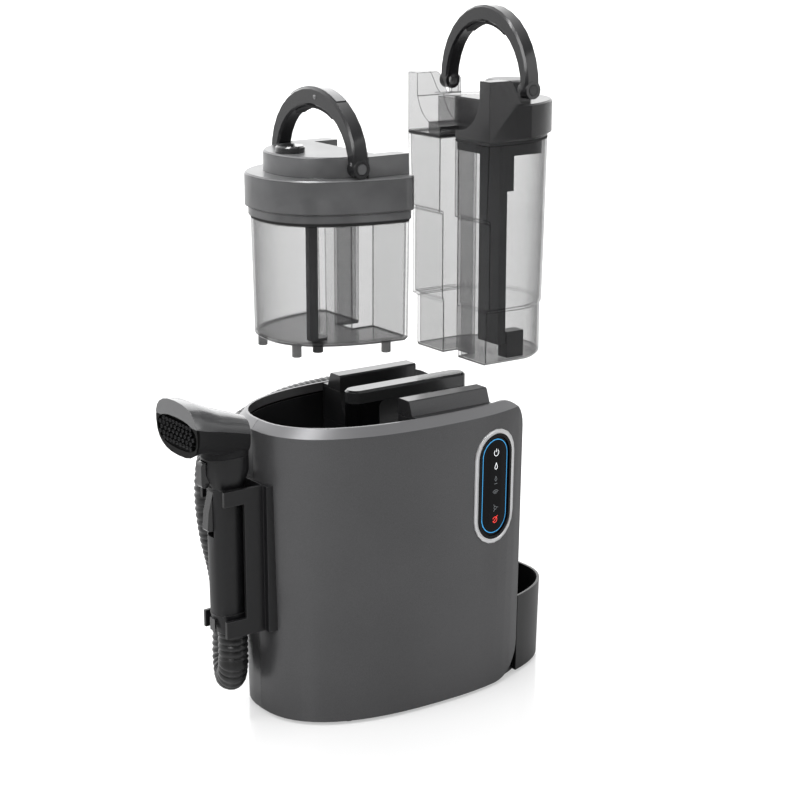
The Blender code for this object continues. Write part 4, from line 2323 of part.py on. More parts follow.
def make_fan_housing():
    """Bell round the fan, standing on the motor, with its inlet on top."""
    low = MOTOR_TOP + FIT
    seat = MOTOR_RADIUS - HOUSING_WALL
    housing = turned_hoop(
        "fan_housing",
        MOTOR_X,
        0,
        [
            (seat, low),
            (HOUSING_RADIUS, low),
            (HOUSING_RADIUS, HOUSING_TOP),
            (HOUSING_INLET, HOUSING_TOP),
            (HOUSING_INLET, HOUSING_TOP - HOUSING_WALL),
            (HOUSING_RADIUS - HOUSING_WALL, HOUSING_TOP - HOUSING_WALL),
            (HOUSING_RADIUS - HOUSING_WALL, low + HOUSING_WALL),
            (seat, low + HOUSING_WALL),
        ],
    )
    return finish_piece(housing, "black")


def make_air_pipe():
    """Pipe from the tanks' side of the column down to the fan's inlet."""
    low = HOUSING_TOP + FIT
    inner = DUCT_PIPE_RADIUS - HOUSING_WALL
    pipe = turned_hoop(
        "air_pipe",
        MOTOR_X,
        0,
        [
            (DUCT_PIPE_RADIUS, low),
            (DUCT_PIPE_RADIUS, DUCT_PIPE_TOP),
            (inner, DUCT_PIPE_TOP),
            (inner, low),
        ],
    )
    return finish_piece(pipe, "black")


def make_boiler():
    """Lying pressure vessel that makes the steam."""
    steps = ROUND_STEPS
    rings = []
    dome = BOILER_RADIUS / 3
    for x, radius in (
        (-BOILER_HALF_LENGTH, BOILER_RADIUS - dome),
        (-BOILER_HALF_LENGTH + dome, BOILER_RADIUS),
        (BOILER_HALF_LENGTH - dome, BOILER_RADIUS),
        (BOILER_HALF_LENGTH, BOILER_RADIUS - dome),
    ):
        ring = circle(BOILER_Y, BOILER_Z, radius, steps)
        rings.append([(BOILER_X + x, y, z) for y, z in ring])
    boiler = loft("steam_boiler", rings)
    floor = COVER_FOOT + TRAY_FLOOR + FIT
    for number, side in enumerate((-1, 1), 1):
        x = BOILER_X + side * BOILER_HALF_LENGTH / 2
        foot = block(
            f"boiler_foot_{number}",
            (x - BOILER_FOOT / 2, BOILER_Y - BOILER_FOOT, floor),
            (x + BOILER_FOOT / 2, BOILER_Y + BOILER_FOOT, BOILER_Z - BOILER_RADIUS / 2),
        )
        fuse(boiler, foot)
    return finish_piece(boiler, "steel")


def make_pump():
    """Water pump with its round coil on a base."""
    floor = COVER_FOOT + TRAY_FLOOR + FIT
    pump = block(
        "water_pump",
        (PUMP_X - PUMP_LENGTH / 2, PUMP_Y - PUMP_WIDTH / 2, floor),
        (PUMP_X + PUMP_LENGTH / 2, PUMP_Y + PUMP_WIDTH / 2, floor + PUMP_HEIGHT),
    )
    coil = turned(
        "pump_coil",
        PUMP_X,
        PUMP_Y,
        [
            (PUMP_COIL_RADIUS, floor + PUMP_HEIGHT / 2),
            (PUMP_COIL_RADIUS, floor + PUMP_HEIGHT + PUMP_COIL_HEIGHT),
        ],
    )
    fuse(pump, coil)
    return finish_piece(pump, "black")


def make_board():
    """Control board standing between the boiler and the column."""
    floor = COVER_FOOT + TRAY_FLOOR + FIT
    half = BOARD_THICKNESS / 2
    board = block(
        "control_board",
        (BOARD_X - half, -BOARD_HALF_WIDTH, floor),
        (BOARD_X + half, BOARD_HALF_WIDTH, floor + BOARD_HEIGHT),
    )
    chip_half = BOARD_HALF_WIDTH * CHIP_SHARE
    chip = block(
        "board_relay",
        (BOARD_X - half - CHIP_DEPTH, -chip_half / 2, floor + BOARD_HEIGHT / 2),
        (BOARD_X, chip_half / 2, floor + BOARD_HEIGHT * (1 + CHIP_SHARE) / 2),
    )
    fuse(board, chip)
    return finish_piece(board, "board_green")


# Assembly


def centre_on_box(machine, free):
    """Put the box of everything but the hose and its port over the origin."""
    bpy.context.view_layer.update()
    graph = bpy.context.evaluated_depsgraph_get()
    lows, highs = [], []
    for piece in bpy.data.objects:
        if piece.type != "MESH" or piece.hide_render or piece in free:
            continue
        corners = [piece.matrix_world @ Vector(c) for c in piece.evaluated_get(graph).bound_box]
        lows.append(min(c.x for c in corners))
        highs.append(max(c.x for c in corners))
    machine.location.x = -(min(lows) + max(highs)) / 2
    print(f"machine moved by {machine.location.x:.6f} m")


def build():
    clear_scene()
    machine = joint_empty("machine", (0, 0, 0))
    adopt(machine, make_base_tray(), make_front_cover(), make_rear_cover(), *make_feet())
    adopt(machine, make_centre_column(), make_column_cap(), make_carry_handle())
    adopt(machine, make_shoulder("front_shoulder", -1), make_shoulder("rear_shoulder", 1))
    adopt(machine, make_clean_bay(), make_valve_seat())
    adopt(machine, make_panel_ring(), make_panel_glass(), make_panel_light())
    hose = make_hose()
    port = make_hose_port()
    upper_hook = make_hook("hose_hook_upper", UPPER_HOOK_X, UPPER_HOOK_Z)
    lower_hook = make_hook("hose_hook_lower", LOWER_HOOK_X, LOWER_HOOK_Z)
    gland = make_gland()
    adopt(machine, make_cradle(), hose, port, upper_hook, lower_hook, gland)
    adopt(machine, make_grille(), make_motor(), make_fan_housing(), make_air_pipe())
    adopt(machine, make_boiler(), make_pump(), make_board())

    fan_spin = joint_empty("fan_spin_axis", (MOTOR_X, 0, FAN_BOTTOM), machine)
    adopt(fan_spin, make_fan())

    clean = joint_empty("clean_tank_axis", (CLEAN_BAIL_X, 0, CLEAN_BOTTOM), machine)
    adopt(clean, make_clean_tank_shell(), make_clean_tank_seal(), make_clean_tank_lid())
    adopt(clean, make_pickup_pipe())
    clean_bail = joint_empty("clean_bail_axis", (CLEAN_BAIL_X, 0, BAIL_Z), clean)
    clean_sizes = (
        CLEAN_BAIL_X,
        CLEAN_BAIL_OUTER,
        CLEAN_BAIL_FOOT,
        CLEAN_BAIL_TOP,
        CLEAN_BAIL_CROWN,
    )
    adopt(clean_bail, make_bail("clean_bail", *clean_sizes))
    adopt(clean_bail, make_grip_pad("clean_bail_grip", *clean_sizes))
    cap_axis = (FILLER_X + CAP_HALF_LENGTH, 0, COLLAR_TOP)
    adopt(joint_empty("filler_cap_axis", cap_axis, clean), make_filler_cap())
    plunger_axis = (VALVE_X, VALVE_Y, CLEAN_BOTTOM)
    adopt(joint_empty("plunger_axis", plunger_axis, clean), make_plunger())

    dirty = joint_empty("dirty_tank_axis", (DIRTY_BAIL_X, 0, DIRTY_BOTTOM), machine)
    adopt(dirty, make_dirty_tank_shell(), make_dirty_tank_seal(), make_dirty_tank_lid())
    adopt(dirty, make_dirty_cap(), make_separator(), make_inlet_duct(), make_valve_box())
    dirty_bail = joint_empty("dirty_bail_axis", (DIRTY_BAIL_X, 0, BAIL_Z), dirty)
    dirty_sizes = (
        DIRTY_BAIL_X,
        DIRTY_BAIL_OUTER,
        DIRTY_BAIL_FOOT,
        DIRTY_BAIL_TOP,
        DIRTY_BAIL_CROWN,
    )
    adopt(dirty_bail, make_bail("dirty_bail", *dirty_sizes))
    adopt(dirty_bail, make_grip_pad("dirty_bail_grip", *dirty_sizes))
    adopt(joint_empty("float_axis", (FLOAT_X, FLOAT_Y, FLOAT_FOOT_BOTTOM), dirty), make_float())

    tool = joint_empty("handset_axis", (TOOL_X, 0, GRIP_TOP), machine)
    adopt(tool, make_cuff(), make_grip(), make_neck(), make_latch())
    adopt(tool, make_head_cover(), make_head_lower(), make_brush())
    trigger_axis = (TRIGGER_PIVOT_X, 0, TRIGGER_PIVOT_Z)
    adopt(joint_empty("trigger_axis", trigger_axis, tool), make_trigger())
    lever_axis = (LEVER_PIVOT_X, 0, LEVER_TOP - LEVER_THICKNESS / 2)
    adopt(joint_empty("lever_axis", lever_axis, tool), make_lever())

    centre_on_box(machine, {hose, port, upper_hook, lower_hook, gland})
    clean.location.z += CLEAN_LIFT
    dirty.location.z += DIRTY_LIFT


build()
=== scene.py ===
"""Looks of the steam vacuum spot cleaner: camera, hose, materials and fine detail.

Lengths are in metres. Places are the drawing's, and at() moves them into the row frame, unless
a comment says that they are in it already. The machine's panel faces -Y, and its hand tool
hangs on the -X end. Both tanks are lifted out, as in the photograph.
"""

import math

import bmesh
import bpy
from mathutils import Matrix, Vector


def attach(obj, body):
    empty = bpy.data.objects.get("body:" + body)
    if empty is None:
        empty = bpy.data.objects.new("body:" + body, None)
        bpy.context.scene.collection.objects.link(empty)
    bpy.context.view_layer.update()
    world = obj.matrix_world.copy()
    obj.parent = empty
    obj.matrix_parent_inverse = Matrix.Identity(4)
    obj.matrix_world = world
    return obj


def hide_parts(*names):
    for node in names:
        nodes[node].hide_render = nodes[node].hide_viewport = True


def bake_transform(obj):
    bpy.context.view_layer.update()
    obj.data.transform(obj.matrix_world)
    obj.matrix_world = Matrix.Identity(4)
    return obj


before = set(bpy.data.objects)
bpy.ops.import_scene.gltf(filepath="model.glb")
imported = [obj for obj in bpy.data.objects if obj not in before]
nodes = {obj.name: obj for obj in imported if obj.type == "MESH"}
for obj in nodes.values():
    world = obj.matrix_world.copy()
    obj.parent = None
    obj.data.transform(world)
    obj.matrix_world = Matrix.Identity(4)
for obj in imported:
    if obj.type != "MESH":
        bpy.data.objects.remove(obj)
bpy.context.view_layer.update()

# Where the drawing's zero stands in the row frame
SHIFT = 0.030057

# Camera, fitted to the photograph, with its target in the row frame
CAMERA_AZIMUTH = math.radians(-34.9)
CAMERA_ELEVATION = math.radians(14.96)
CAMERA_DISTANCE = 1.8777
CAMERA_TARGET = (0.0087 + SHIFT, 0.0, 0.2917)
CAMERA_LENS = 87.5
CAMERA_SENSOR = 36.0
CAMERA_REACH = 100.0

# Room light: brightest behind the machine and above it, darkest in front and below, and the
# cosines to the bright side between which it changes
ROOM_BRIGHT_SIDE = (0.25, 0.86, 0.44)
ROOM_SIDES = (-0.7, 1.0)
ROOM_DARK = 0.14
ROOM_BRIGHT = 2.3
ROOM_FALL = 2.3
ROOM_SEEN = 1.0
WHITE = (1.0, 1.0, 1.0)

# Lamps: place from the camera's target, size and power
LAMPS = {
    "key": ((-1.6, -1.1, 1.5), (0.9, 1.6), 26.0),
    "fill": ((1.5, -1.6, 0.7), (0.6, 1.6), 5.0),
    "top": ((-0.62, -0.14, 2.0), (0.7, 0.7), 24.0),
}

# Floor
FLOOR_REACH = 12.0
FLOOR_DROP = 0.0004
FLOOR_COLOUR = (0.50, 0.50, 0.50)
FLOOR_ROUGHNESS = 0.10
FLOOR_GLOW = 0.46

# Body form, as in the CAD
BODY_HALF_LENGTH = 0.155
BODY_HALF_WIDTH = 0.092
OVAL_POWER = 2.45
BODY_TOP = 0.293
WALL_TOP = 0.2845
WALL_FOOT = 0.003
BODY_DRAFT = 0.0055

# How far down from the body's top its rim is painted lighter, as a highlight, just short of the
# walls' top, and the height below which the carry handle is painted dark, as the shade under its bar
RIM_GAP = 0.0002
RIM_HIGHLIGHT_REACH = BODY_TOP - WALL_TOP - RIM_GAP
HANDLE_SHADE_TOP = 0.2935

# Floors of the lifted tanks
CLEAN_TANK_BOTTOM = 0.1368 + 0.2330
DIRTY_TANK_BOTTOM = 0.0350 + 0.2910

# Hose, and between which places it goes over from following the hand tool to following the body
HOSE_RADIUS = 0.0145
HOSE_VALLEY = 0.90
HOSE_PITCH = 0.0062
HOSE_SPACING = 0.0014
HOSE_SIDES = 20
ROUTE_DIVISIONS = 24
HOSE_ROUTE = (
    (-0.1800, 0.0000, 0.0917),
    (-0.1800, 0.0000, 0.0760),
    (-0.1800, 0.0000, 0.0627),
    (-0.1800, 0.0000, 0.0610),
    (-0.1775, 0.0075, 0.0440),
    (-0.1720, 0.0225, 0.0370),
    (-0.1650, 0.0385, 0.0490),
    (-0.1595, 0.0470, 0.0760),
    (-0.1590, 0.0480, 0.1050),
    (-0.1640, 0.0470, 0.1380),
    (-0.1715, 0.0460, 0.1700),
    (-0.1750, 0.0470, 0.2000),
    (-0.1710, 0.0540, 0.2260),
    (-0.1560, 0.0720, 0.2420),
    (-0.1290, 0.0920, 0.2500),
    (-0.0950, 0.1060, 0.2590),
    (-0.0550, 0.1115, 0.2690),
    (-0.0150, 0.1120, 0.2735),
    (0.0260, 0.1120, 0.2725),
    (0.0640, 0.1110, 0.2580),
    (0.0950, 0.1080, 0.2310),
    (0.1120, 0.1050, 0.1930),
    (0.1130, 0.1050, 0.1530),
    (0.0990, 0.1080, 0.1150),
    (0.0700, 0.1120, 0.0880),
    (0.0330, 0.1130, 0.0795),
    (0.0020, 0.1130, 0.0790),
    (-0.0200, 0.1130, 0.0835),
    (-0.0375, 0.1125, 0.0940),
    (-0.0475, 0.1120, 0.1090),
    (-0.0500, 0.1120, 0.1207),
    (-0.0500, 0.1120, 0.1350),
    (-0.0500, 0.1120, 0.1497),
)

# Panel, as in the CAD, and the width of the silver that shows
PANEL_X = 0.0655
PANEL_Z = 0.2116
PANEL_HALF_WIDTH = 0.02775
PANEL_HALF_HEIGHT = 0.0580
SILVER_WIDTH = 0.0047
SILVER_CROWN = SILVER_WIDTH / 4
SILVER_METALLIC = 0.55
RING_BLACK = (0.004, 0.004, 0.005)

# Line of blue light round the panel: how far it is from the panel's middle line, and its light
LINE_MIDDLE = 0.0169
LINE_HALF_WIDTH = 0.0004
LINE_POWER = 1.0
LINE_COLOUR = (0.06, 0.42, 0.86)

# Panel icons: the X of their middle, their line, and their lights as colour and strength
ICON_X = 0.0665
ICON_PROUD = 0.0002
ICON_BACK = ICON_PROUD / 4
ICON_LINE = 0.0005
ICON_SIZE = 0.0042
ICON_ROUGHNESS = 0.4
ICON_LIGHTS = {
    "icon_white": ((0.90, 0.93, 0.95), 1.0),
    "icon_dim": ((0.16, 0.17, 0.18), 0.45),
    "icon_red": ((0.85, 0.05, 0.04), 1.2),
}

# Each icon's height, light and strokes, in shares of its size: an arc has its radius, its start
# and end in degrees and its steps, a bar its two ends, and a spoke its two radii and its angle
ICONS = {
    "icon_power": (0.2453, "icon_white", (("arc", 0.75, 125, 415, 14), ("bar", 0, 0.2, 0, 0.95))),
    "icon_drop": (
        0.2306,
        "icon_white",
        (
            ("arc", 0.44, 150, 390, 14),
            ("bar", -0.3828, 0.22, 0, 1.08),
            ("bar", 0.3828, 0.22, 0, 1.08),
        ),
    ),
    "icon_level": (
        0.2182,
        "icon_dim",
        (
            ("arc", 0.33, 150, 390, 14),
            ("bar", -0.2871, 0.165, 0, 0.81),
            ("bar", 0.2871, 0.165, 0, 0.81),
            ("bar", -0.5, -1, 0.5, -1),
        ),
    ),
    "icon_steam": (
        0.2025,
        "icon_dim",
        (("arc", 0.5, 40, 140, 8), ("arc", 0.85, 40, 140, 8), ("arc", 1.2, 40, 140, 8)),
    ),
    "icon_fan": (
        0.1893,
        "icon_dim",
        (
            ("arc", 0.4, 0, 350, 14),
            ("spoke", 0.5, 1, 0),
            ("spoke", 0.5, 1, 120),
            ("spoke", 0.5, 1, 240),
        ),
    ),
    "icon_alert": (
        0.1770,
        "icon_red",
        (
            ("arc", 0.7, 200, 520, 14),
            ("bar", -0.5, -0.5, 0.5, 0.5),
            ("bar", 0.3, 0.5, 0.9, 0.9),
        ),
    ),
}

# Brush, as in the CAD
BRUSH_X = -0.2278
BRUSH_Z = 0.2943
BRUSH_HALF_HEIGHT = 0.0138
BRUSH_HALF_WIDTH = 0.0350
BRUSH_POWER = 2.6
BRUSH_BACK = 0.0018
BRUSH_SIDES = 40

# Bristles, in staggered rows of tufts that keep off the brush's edge
STRAND_LENGTH = 0.0068
STRAND_RADIUS = 0.00055
STRAND_TIP = 0.6
STRAND_SIDES = 4
TUFT_ROWS = 5
TUFT_COLUMNS = 9
TUFT_STRANDS = 8
TUFT_RADIUS = 0.0012
TUFT_FLARE = 1.35
TUFT_STAGGERS = (0.25, 0.75)
ROWS_SHARE = 0.84
COLUMNS_SHARE = 0.94

# Row frame X of the lower head's mouth and of the bristles' tips, and how far each is painted:
# the mouth near-black as painted shade, the tips lighter as a painted highlight
HEAD_MOUTH_X = -0.2038
MOUTH_SHADE_REACH = 0.0030
TIP_X = BRUSH_X + SHIFT - STRAND_LENGTH
TIP_HIGHLIGHT_REACH = 0.0010

# Clean tank's bail, as in the CAD
BAIL_X = -0.0780
BAIL_Z = 0.2960 + 0.2330
BAIL_MEAN_WIDTH = 0.0716 - 0.0115 / 2
BAIL_MEAN_HEIGHT = 0.3636 - 0.2960 - 0.0166 / 2
BAIL_HALF_DEPTH = 0.0080
BAIL_CROWN = 0.0166

# Screws of the bail: their turn round its arch, their profile as share of the radius, share of
# the height and whether that ring is a hexagon, and the turn between a hexagon's corners
SCREW_TURNS = {"bail_screw_crown": math.radians(96), "bail_screw_front": math.radians(176)}
SCREW_PROFILE = (
    (1.0, 0.0, False),
    (1.0, 0.6, False),
    (0.82, 1.0, False),
    (0.46, 1.0, True),
    (0.42, 0.1, True),
)
SCREW_RADIUS = 0.0021
SCREW_PROUD = 0.0005
SCREW_SIDES = 24
HEX_STEP = math.pi / 3

# Lighter strip let into the bail's crown
INLAY_START = math.radians(58)
INLAY_END = math.radians(122)
INLAY_STEPS = 20
INLAY_PROUD = 0.0004
INLAY_HALF_DEPTH = 0.0054

# Shading of the meshes
SMOOTH_ANGLE = math.radians(32)
WELD_DISTANCE = 0.00001

# Clouds that mottle the surfaces, and how far they change the colour and the gloss
VARY = 0.12
CLOUD_SCALE = 14.0
CLOUD_DETAIL = 4.0
CLOUD_ENDS = (0.3, 0.7)
GLOSS_SHARES = (0.88, 1.12)
GLOSS_LEAST = 0.02

# Fine grain, flakes in the metallic paint, softened edges and clear coat
GRAIN_SCALE = 900.0
GRAIN_DETAIL = 2.0
GRAIN_HEIGHT = 0.0002
FLAKE_SCALE = 2600.0
FLAKE_DETAIL = 1.0
FLAKE_ENDS = (0.35, 0.65)
SOFT_EDGE = 0.0006
SOFT_EDGE_SAMPLES = 4
SPECULAR = 0.5
COAT_ROUGHNESS = 0.08

# Drawn edges: how far they reach, the cosines of the rounded normal's turn between which they
# show, and their look; the lighter edges of moulded pieces and the clean lid are a painted highlight
EDGE_REACH = 0.0014
EDGE_SAMPLES = 6
EDGE_TURNS = (0.995, 0.93)
EDGE_ALPHA = 0.96
EDGE_COLOUR = (0.006, 0.006, 0.007)
# Painted highlight along the edges of moulded pieces and the clean lid
MOULDED_EDGE_HIGHLIGHT = (0.030, 0.030, 0.031)

# Clear plastic of the tanks
CLEAR_COLOUR = (0.045, 0.045, 0.047)
CLEAR_ALPHA = 0.20
CLEAR_EDGE_ON_ALPHA = 0.97
CLEAR_BLEND = 0.35
CLEAR_POWER = 2.2
CLEAR_CLOUD_SCALE = 9.0
CLEAR_CLOUD_DETAIL = 2.0
CLEAR_GLOSS = (0.05, 0.09)
CLEAR_SPECULAR = 0.35
CLEAN_LEG_ALPHA = 0.75
DIRTY_LEG_ALPHA = 0.70

# Dirty tank's lid: the length over which it turns from dark to clear
SHEER_RUN = 0.002

# Painted shade in the hose's grooves, and the shares of a rib's height over which it gives way
GROOVE_SHADE = (0.002, 0.002, 0.002)
GROOVE_ENDS = (0.20, 0.85)

# Looks of the surfaces, each as what surface() takes
LOOKS = {
    "shell_graphite": dict(
        colour=(0.104, 0.104, 0.107), roughness=0.36, metallic=0.45, grain=0.10, grain_scale=1600.0,
        # the lighter rim at the top of the walls is a painted highlight
        vary=0.05, coat=0.10, flake=0.16, band=("Z", BODY_TOP, RIM_HIGHLIGHT_REACH, (0.19, 0.19, 0.195)),
    ),
    "handle_graphite": dict(
        colour=(0.072, 0.073, 0.075), roughness=0.26, metallic=0.60, grain=0.06, grain_scale=1500.0,
        vary=0.06, coat=0.3, flake=0.12,
        # the dark band below the bar is painted shade
        band=("Z", HANDLE_SHADE_TOP / 2, HANDLE_SHADE_TOP / 2, (0.006, 0.006, 0.007)),
    ),
    "shoulder_grey": dict(
        colour=(0.050, 0.050, 0.052), roughness=0.28, metallic=0.50, grain=0.06, grain_scale=1500.0,
        vary=0.06, coat=0.2, flake=0.12,
    ),
    "hood_grey": dict(
        colour=(0.145, 0.146, 0.149), roughness=0.24, metallic=0.50, grain=0.06, grain_scale=1500.0,
        vary=0.06, coat=0.25,
    ),
    "moulded_black": dict(
        colour=(0.008, 0.008, 0.009), roughness=0.38, grain=0.35, grain_scale=700.0, vary=0.15,
        edge_colour=MOULDED_EDGE_HIGHLIGHT,
    ),
    "head_black": dict(
        colour=(0.028, 0.028, 0.029), roughness=0.42, grain=0.20, grain_scale=700.0, specular=0.08,
        # the mouth's face is painted near-black as shade
        band=("X", HEAD_MOUTH_X, MOUTH_SHADE_REACH, (0.002, 0.002, 0.002)),
    ),
    "inner_black": dict(
        colour=(0.007, 0.007, 0.008), roughness=0.55, grain=0.30, grain_scale=600.0, vary=0.15
    ),
    "cup_black": dict(colour=(0.009, 0.009, 0.010), roughness=0.38, grain=0.20, grain_scale=800.0),
    "polished_black": dict(
        colour=(0.020, 0.020, 0.021), roughness=0.16, grain=0.03, grain_scale=400.0, vary=0.10, coat=0.4
    ),
    "bail_black": dict(
        colour=(0.010, 0.010, 0.011), roughness=0.24, grain=0.05, grain_scale=500.0, vary=0.08, coat=0.2
    ),
    "panel_black": dict(
        colour=(0.004, 0.004, 0.005), roughness=0.12, grain=0.02, grain_scale=300.0, vary=0.10,
        specular=0.10,
    ),
    "soft_rubber": dict(
        colour=(0.020, 0.020, 0.021), roughness=0.78, grain=0.45, grain_scale=500.0, vary=0.20
    ),
    "plain_steel": dict(
        colour=(0.55, 0.55, 0.55), roughness=0.30, metallic=1.0, grain=0.10, grain_scale=350.0, vary=0.06
    ),
    "board_green": dict(
        colour=(0.03, 0.16, 0.07), roughness=0.45, grain=0.25, grain_scale=300.0, vary=0.15
    ),
    "float_white": dict(
        colour=(0.66, 0.66, 0.66), roughness=0.50, grain=0.15, grain_scale=500.0, vary=0.05
    ),
    "tank_insert": dict(colour=CLEAR_COLOUR, roughness=0.35, grain=0.10, grain_scale=400.0),
    "clean_lid_grey": dict(
        colour=(0.140, 0.141, 0.144), roughness=0.30, metallic=0.30, grain=0.03, vary=0.38, coat=0.08,
        alpha=0.88, edge_colour=MOULDED_EDGE_HIGHLIGHT,
    ),
    "dirty_lid_grey": dict(
        colour=(0.028, 0.028, 0.029), roughness=0.26, metallic=0.15, grain=0.03, vary=0.10, coat=0.08,
        alpha=0.92, sheer=("Y", 0.030, 0.38), edge_colour=EDGE_COLOUR,
    ),
    "ring_silver": dict(
        colour=(0.86, 0.86, 0.87), roughness=0.34, metallic=SILVER_METALLIC, vary=0.04, specular=0.15
    ),
    "blue_line": dict(colour=(0.010, 0.030, 0.060), roughness=0.20, specular=0.2),
    "hose_plastic": dict(colour=(0.026, 0.026, 0.027), roughness=0.30, grain=0.06, grain_scale=400.0),
    "bristle_black": dict(
        colour=(0.003, 0.003, 0.003), roughness=0.50, grain=0.20, vary=0.25, soft_edge=0.0002,
        # the bristles' tips are painted lighter as a highlight
        specular=0.2, band=("X", TIP_X, TIP_HIGHLIGHT_REACH, (0.055, 0.055, 0.057)),
    ),
    "screw_steel": dict(
        colour=(0.30, 0.30, 0.305), roughness=0.25, metallic=1.0, grain=0.10, vary=0.08, soft_edge=0.0002
    ),
    "inlay_grey": dict(
        colour=(0.16, 0.16, 0.165), roughness=0.20, metallic=0.20, grain=0.04, vary=0.06, coat=0.4
    ),
}

# CAD pieces that wear each material
WORN_BY = {
    "shell_graphite": "front_cover rear_cover",
    "handle_graphite": "carry_handle",
    "shoulder_grey": "front_shoulder rear_shoulder",
    "ring_silver": "panel_ring",
    "hood_grey": "handset_cover",
    "moulded_black": "cradle_bracket hose_hook_upper hose_hook_lower exhaust_grille handset_grip "
    "handset_neck hose_cuff hose_port",
    "head_black": "handset_head",
    "inner_black": "centre_column column_cap clean_bay fan_housing air_pipe water_pump",
    "cup_black": "base_tray",
    "polished_black": "cuff_latch steam_trigger release_lever filler_cap",
    "bail_black": "clean_bail dirty_bail",
    "panel_black": "panel_glass",
    "soft_rubber": "foot_1 foot_2 foot_3 foot_4 valve_seat clean_tank_seal dirty_tank_seal "
    "clean_bail_grip dirty_bail_grip mains_gland",
    "plain_steel": "suction_motor suction_fan steam_boiler",
    "board_green": "control_board",
    "float_white": "dirty_float",
    "tank_insert": "clean_pickup_pipe clean_valve_plunger dirty_cap separator dirty_inlet_duct "
    "dirty_valve_box",
    "blue_line": "panel_light_ring",
    "clean_tank_clear": "clean_tank_shell",
    "dirty_tank_clear": "dirty_tank_shell",
    "clean_lid_grey": "clean_tank_lid",
    "dirty_lid_grey": "dirty_tank_lid",
}


# Node helpers


def opaque(colour):
    return (*colour, 1.0)


def fill_inputs(tree, node, inputs):
    """Link other nodes' outputs to a node's inputs, or set the inputs to plain values."""
    for key, value in inputs.items():
        if isinstance(value, bpy.types.NodeSocket):
            tree.links.new(value, node.inputs[key])
        else:
            node.inputs[key].default_value = value


def add_node(tree, kind, inputs=None, **settings):
    """A node with its settings, and its inputs filled by name or number."""
    node = tree.nodes.new(kind)
    for name, value in settings.items():
        setattr(node, name, value)
    if inputs:
        fill_inputs(tree, node, inputs)
    return node


def calc(tree, operation, *values):
    """The result of one sum on numbers and other nodes' outputs."""
    node = add_node(tree, "ShaderNodeMath", dict(enumerate(values)), operation=operation)
    return node.outputs["Value"]


def near(tree, value, middle, reach):
    """1 where the value is within reach of the middle, else 0."""
    return calc(tree, "COMPARE", value, middle, reach)


def spread(tree, value, start=0.0, end=1.0, low=0.0, high=1.0):
    """A number that goes from low to high as the value goes from start to end."""
    inputs = {"Value": value, "From Min": start, "From Max": end, "To Min": low, "To Max": high}
    return add_node(tree, "ShaderNodeMapRange", inputs).outputs["Result"]


def mix(tree, share, first, second):
    """The first colour where the share is 0, and the second where it is 1."""
    inputs = {"Fac": share, "Color1": first, "Color2": second}
    return add_node(tree, "ShaderNodeMixRGB", inputs).outputs["Color"]


def noise(tree, place, scale, detail):
    inputs = {"Vector": place, "Scale": scale, "Detail": detail}
    return add_node(tree, "ShaderNodeTexNoise", inputs).outputs["Fac"]


def bumped(tree, height, distance, normal, strength=1.0):
    inputs = {"Height": height, "Strength": strength, "Distance": distance, "Normal": normal}
    return add_node(tree, "ShaderNodeBump", inputs).outputs["Normal"]


def object_place(tree):
    """Each point's place in the row frame, as every piece's object sits at the origin."""
    return add_node(tree, "ShaderNodeTexCoord").outputs["Object"]


def along(tree, place, axis):
    return add_node(tree, "ShaderNodeSeparateXYZ", {"Vector": place}).outputs[axis]


def source(socket):
    """The output that a socket is linked to."""
    return socket.links[0].from_socket


def seen_by_camera(tree):
    return add_node(tree, "ShaderNodeLightPath").outputs["Is Camera Ray"]


# Mesh helpers


def smooth_group():
    """Modifier nodes that join a CAD mesh's faces and round the shading of its shallow edges."""
    group = bpy.data.node_groups.new("smooth_shading", "GeometryNodeTree")
    group.interface.new_socket("Geometry", in_out="INPUT", socket_type="NodeSocketGeometry")
    group.interface.new_socket("Geometry", in_out="OUTPUT", socket_type="NodeSocketGeometry")
    mesh = add_node(group, "NodeGroupInput").outputs["Geometry"]
    weld = {"Geometry": mesh, "Distance": WELD_DISTANCE}
    mesh = add_node(group, "GeometryNodeMergeByDistance", weld).outputs["Geometry"]
    drop = {"Geometry": mesh, "Name": "custom_normal"}
    mesh = add_node(group, "GeometryNodeRemoveAttribute", drop).outputs["Geometry"]
    smooth = {"Geometry": mesh}
    mesh = add_node(group, "GeometryNodeSetShadeSmooth", smooth, domain="FACE").outputs["Geometry"]
    angle = add_node(group, "GeometryNodeInputMeshEdgeAngle").outputs["Unsigned Angle"]
    steep = add_node(
        group,
        "FunctionNodeCompare",
        {"A": angle, "B": SMOOTH_ANGLE},
        data_type="FLOAT",
        operation="GREATER_THAN",
    )
    crease = {"Geometry": mesh, "Selection": steep.outputs["Result"], "Shade Smooth": False}
    mesh = add_node(group, "GeometryNodeSetShadeSmooth", crease, domain="EDGE").outputs["Geometry"]
    add_node(group, "NodeGroupOutput", {"Geometry": mesh})
    return group


def smooth_nodes():
    """Shade every CAD piece as the curved surface that its facets stand for."""
    group = smooth_group()
    for piece in nodes.values():
        piece.modifiers.new("smooth_shading", "NODES").node_group = group
        piece.modifiers.new("even_normals", "WEIGHTED_NORMAL").keep_sharp = True


def at(x, y, z):
    """A place of the drawing, in the row frame."""
    return Vector((x + SHIFT, y, z))


def mesh_piece(name, vertices, faces):
    mesh = bpy.data.meshes.new(name)
    mesh.from_pydata([tuple(v) for v in vertices], [], faces)
    work = bmesh.new()
    work.from_mesh(mesh)
    bmesh.ops.recalc_face_normals(work, faces=work.faces)
    work.to_mesh(mesh)
    work.free()
    mesh.shade_smooth()
    mesh.set_sharp_from_angle(angle=SMOOTH_ANGLE)
    made = bpy.data.objects.new(name, mesh)
    bpy.context.scene.collection.objects.link(made)
    return made


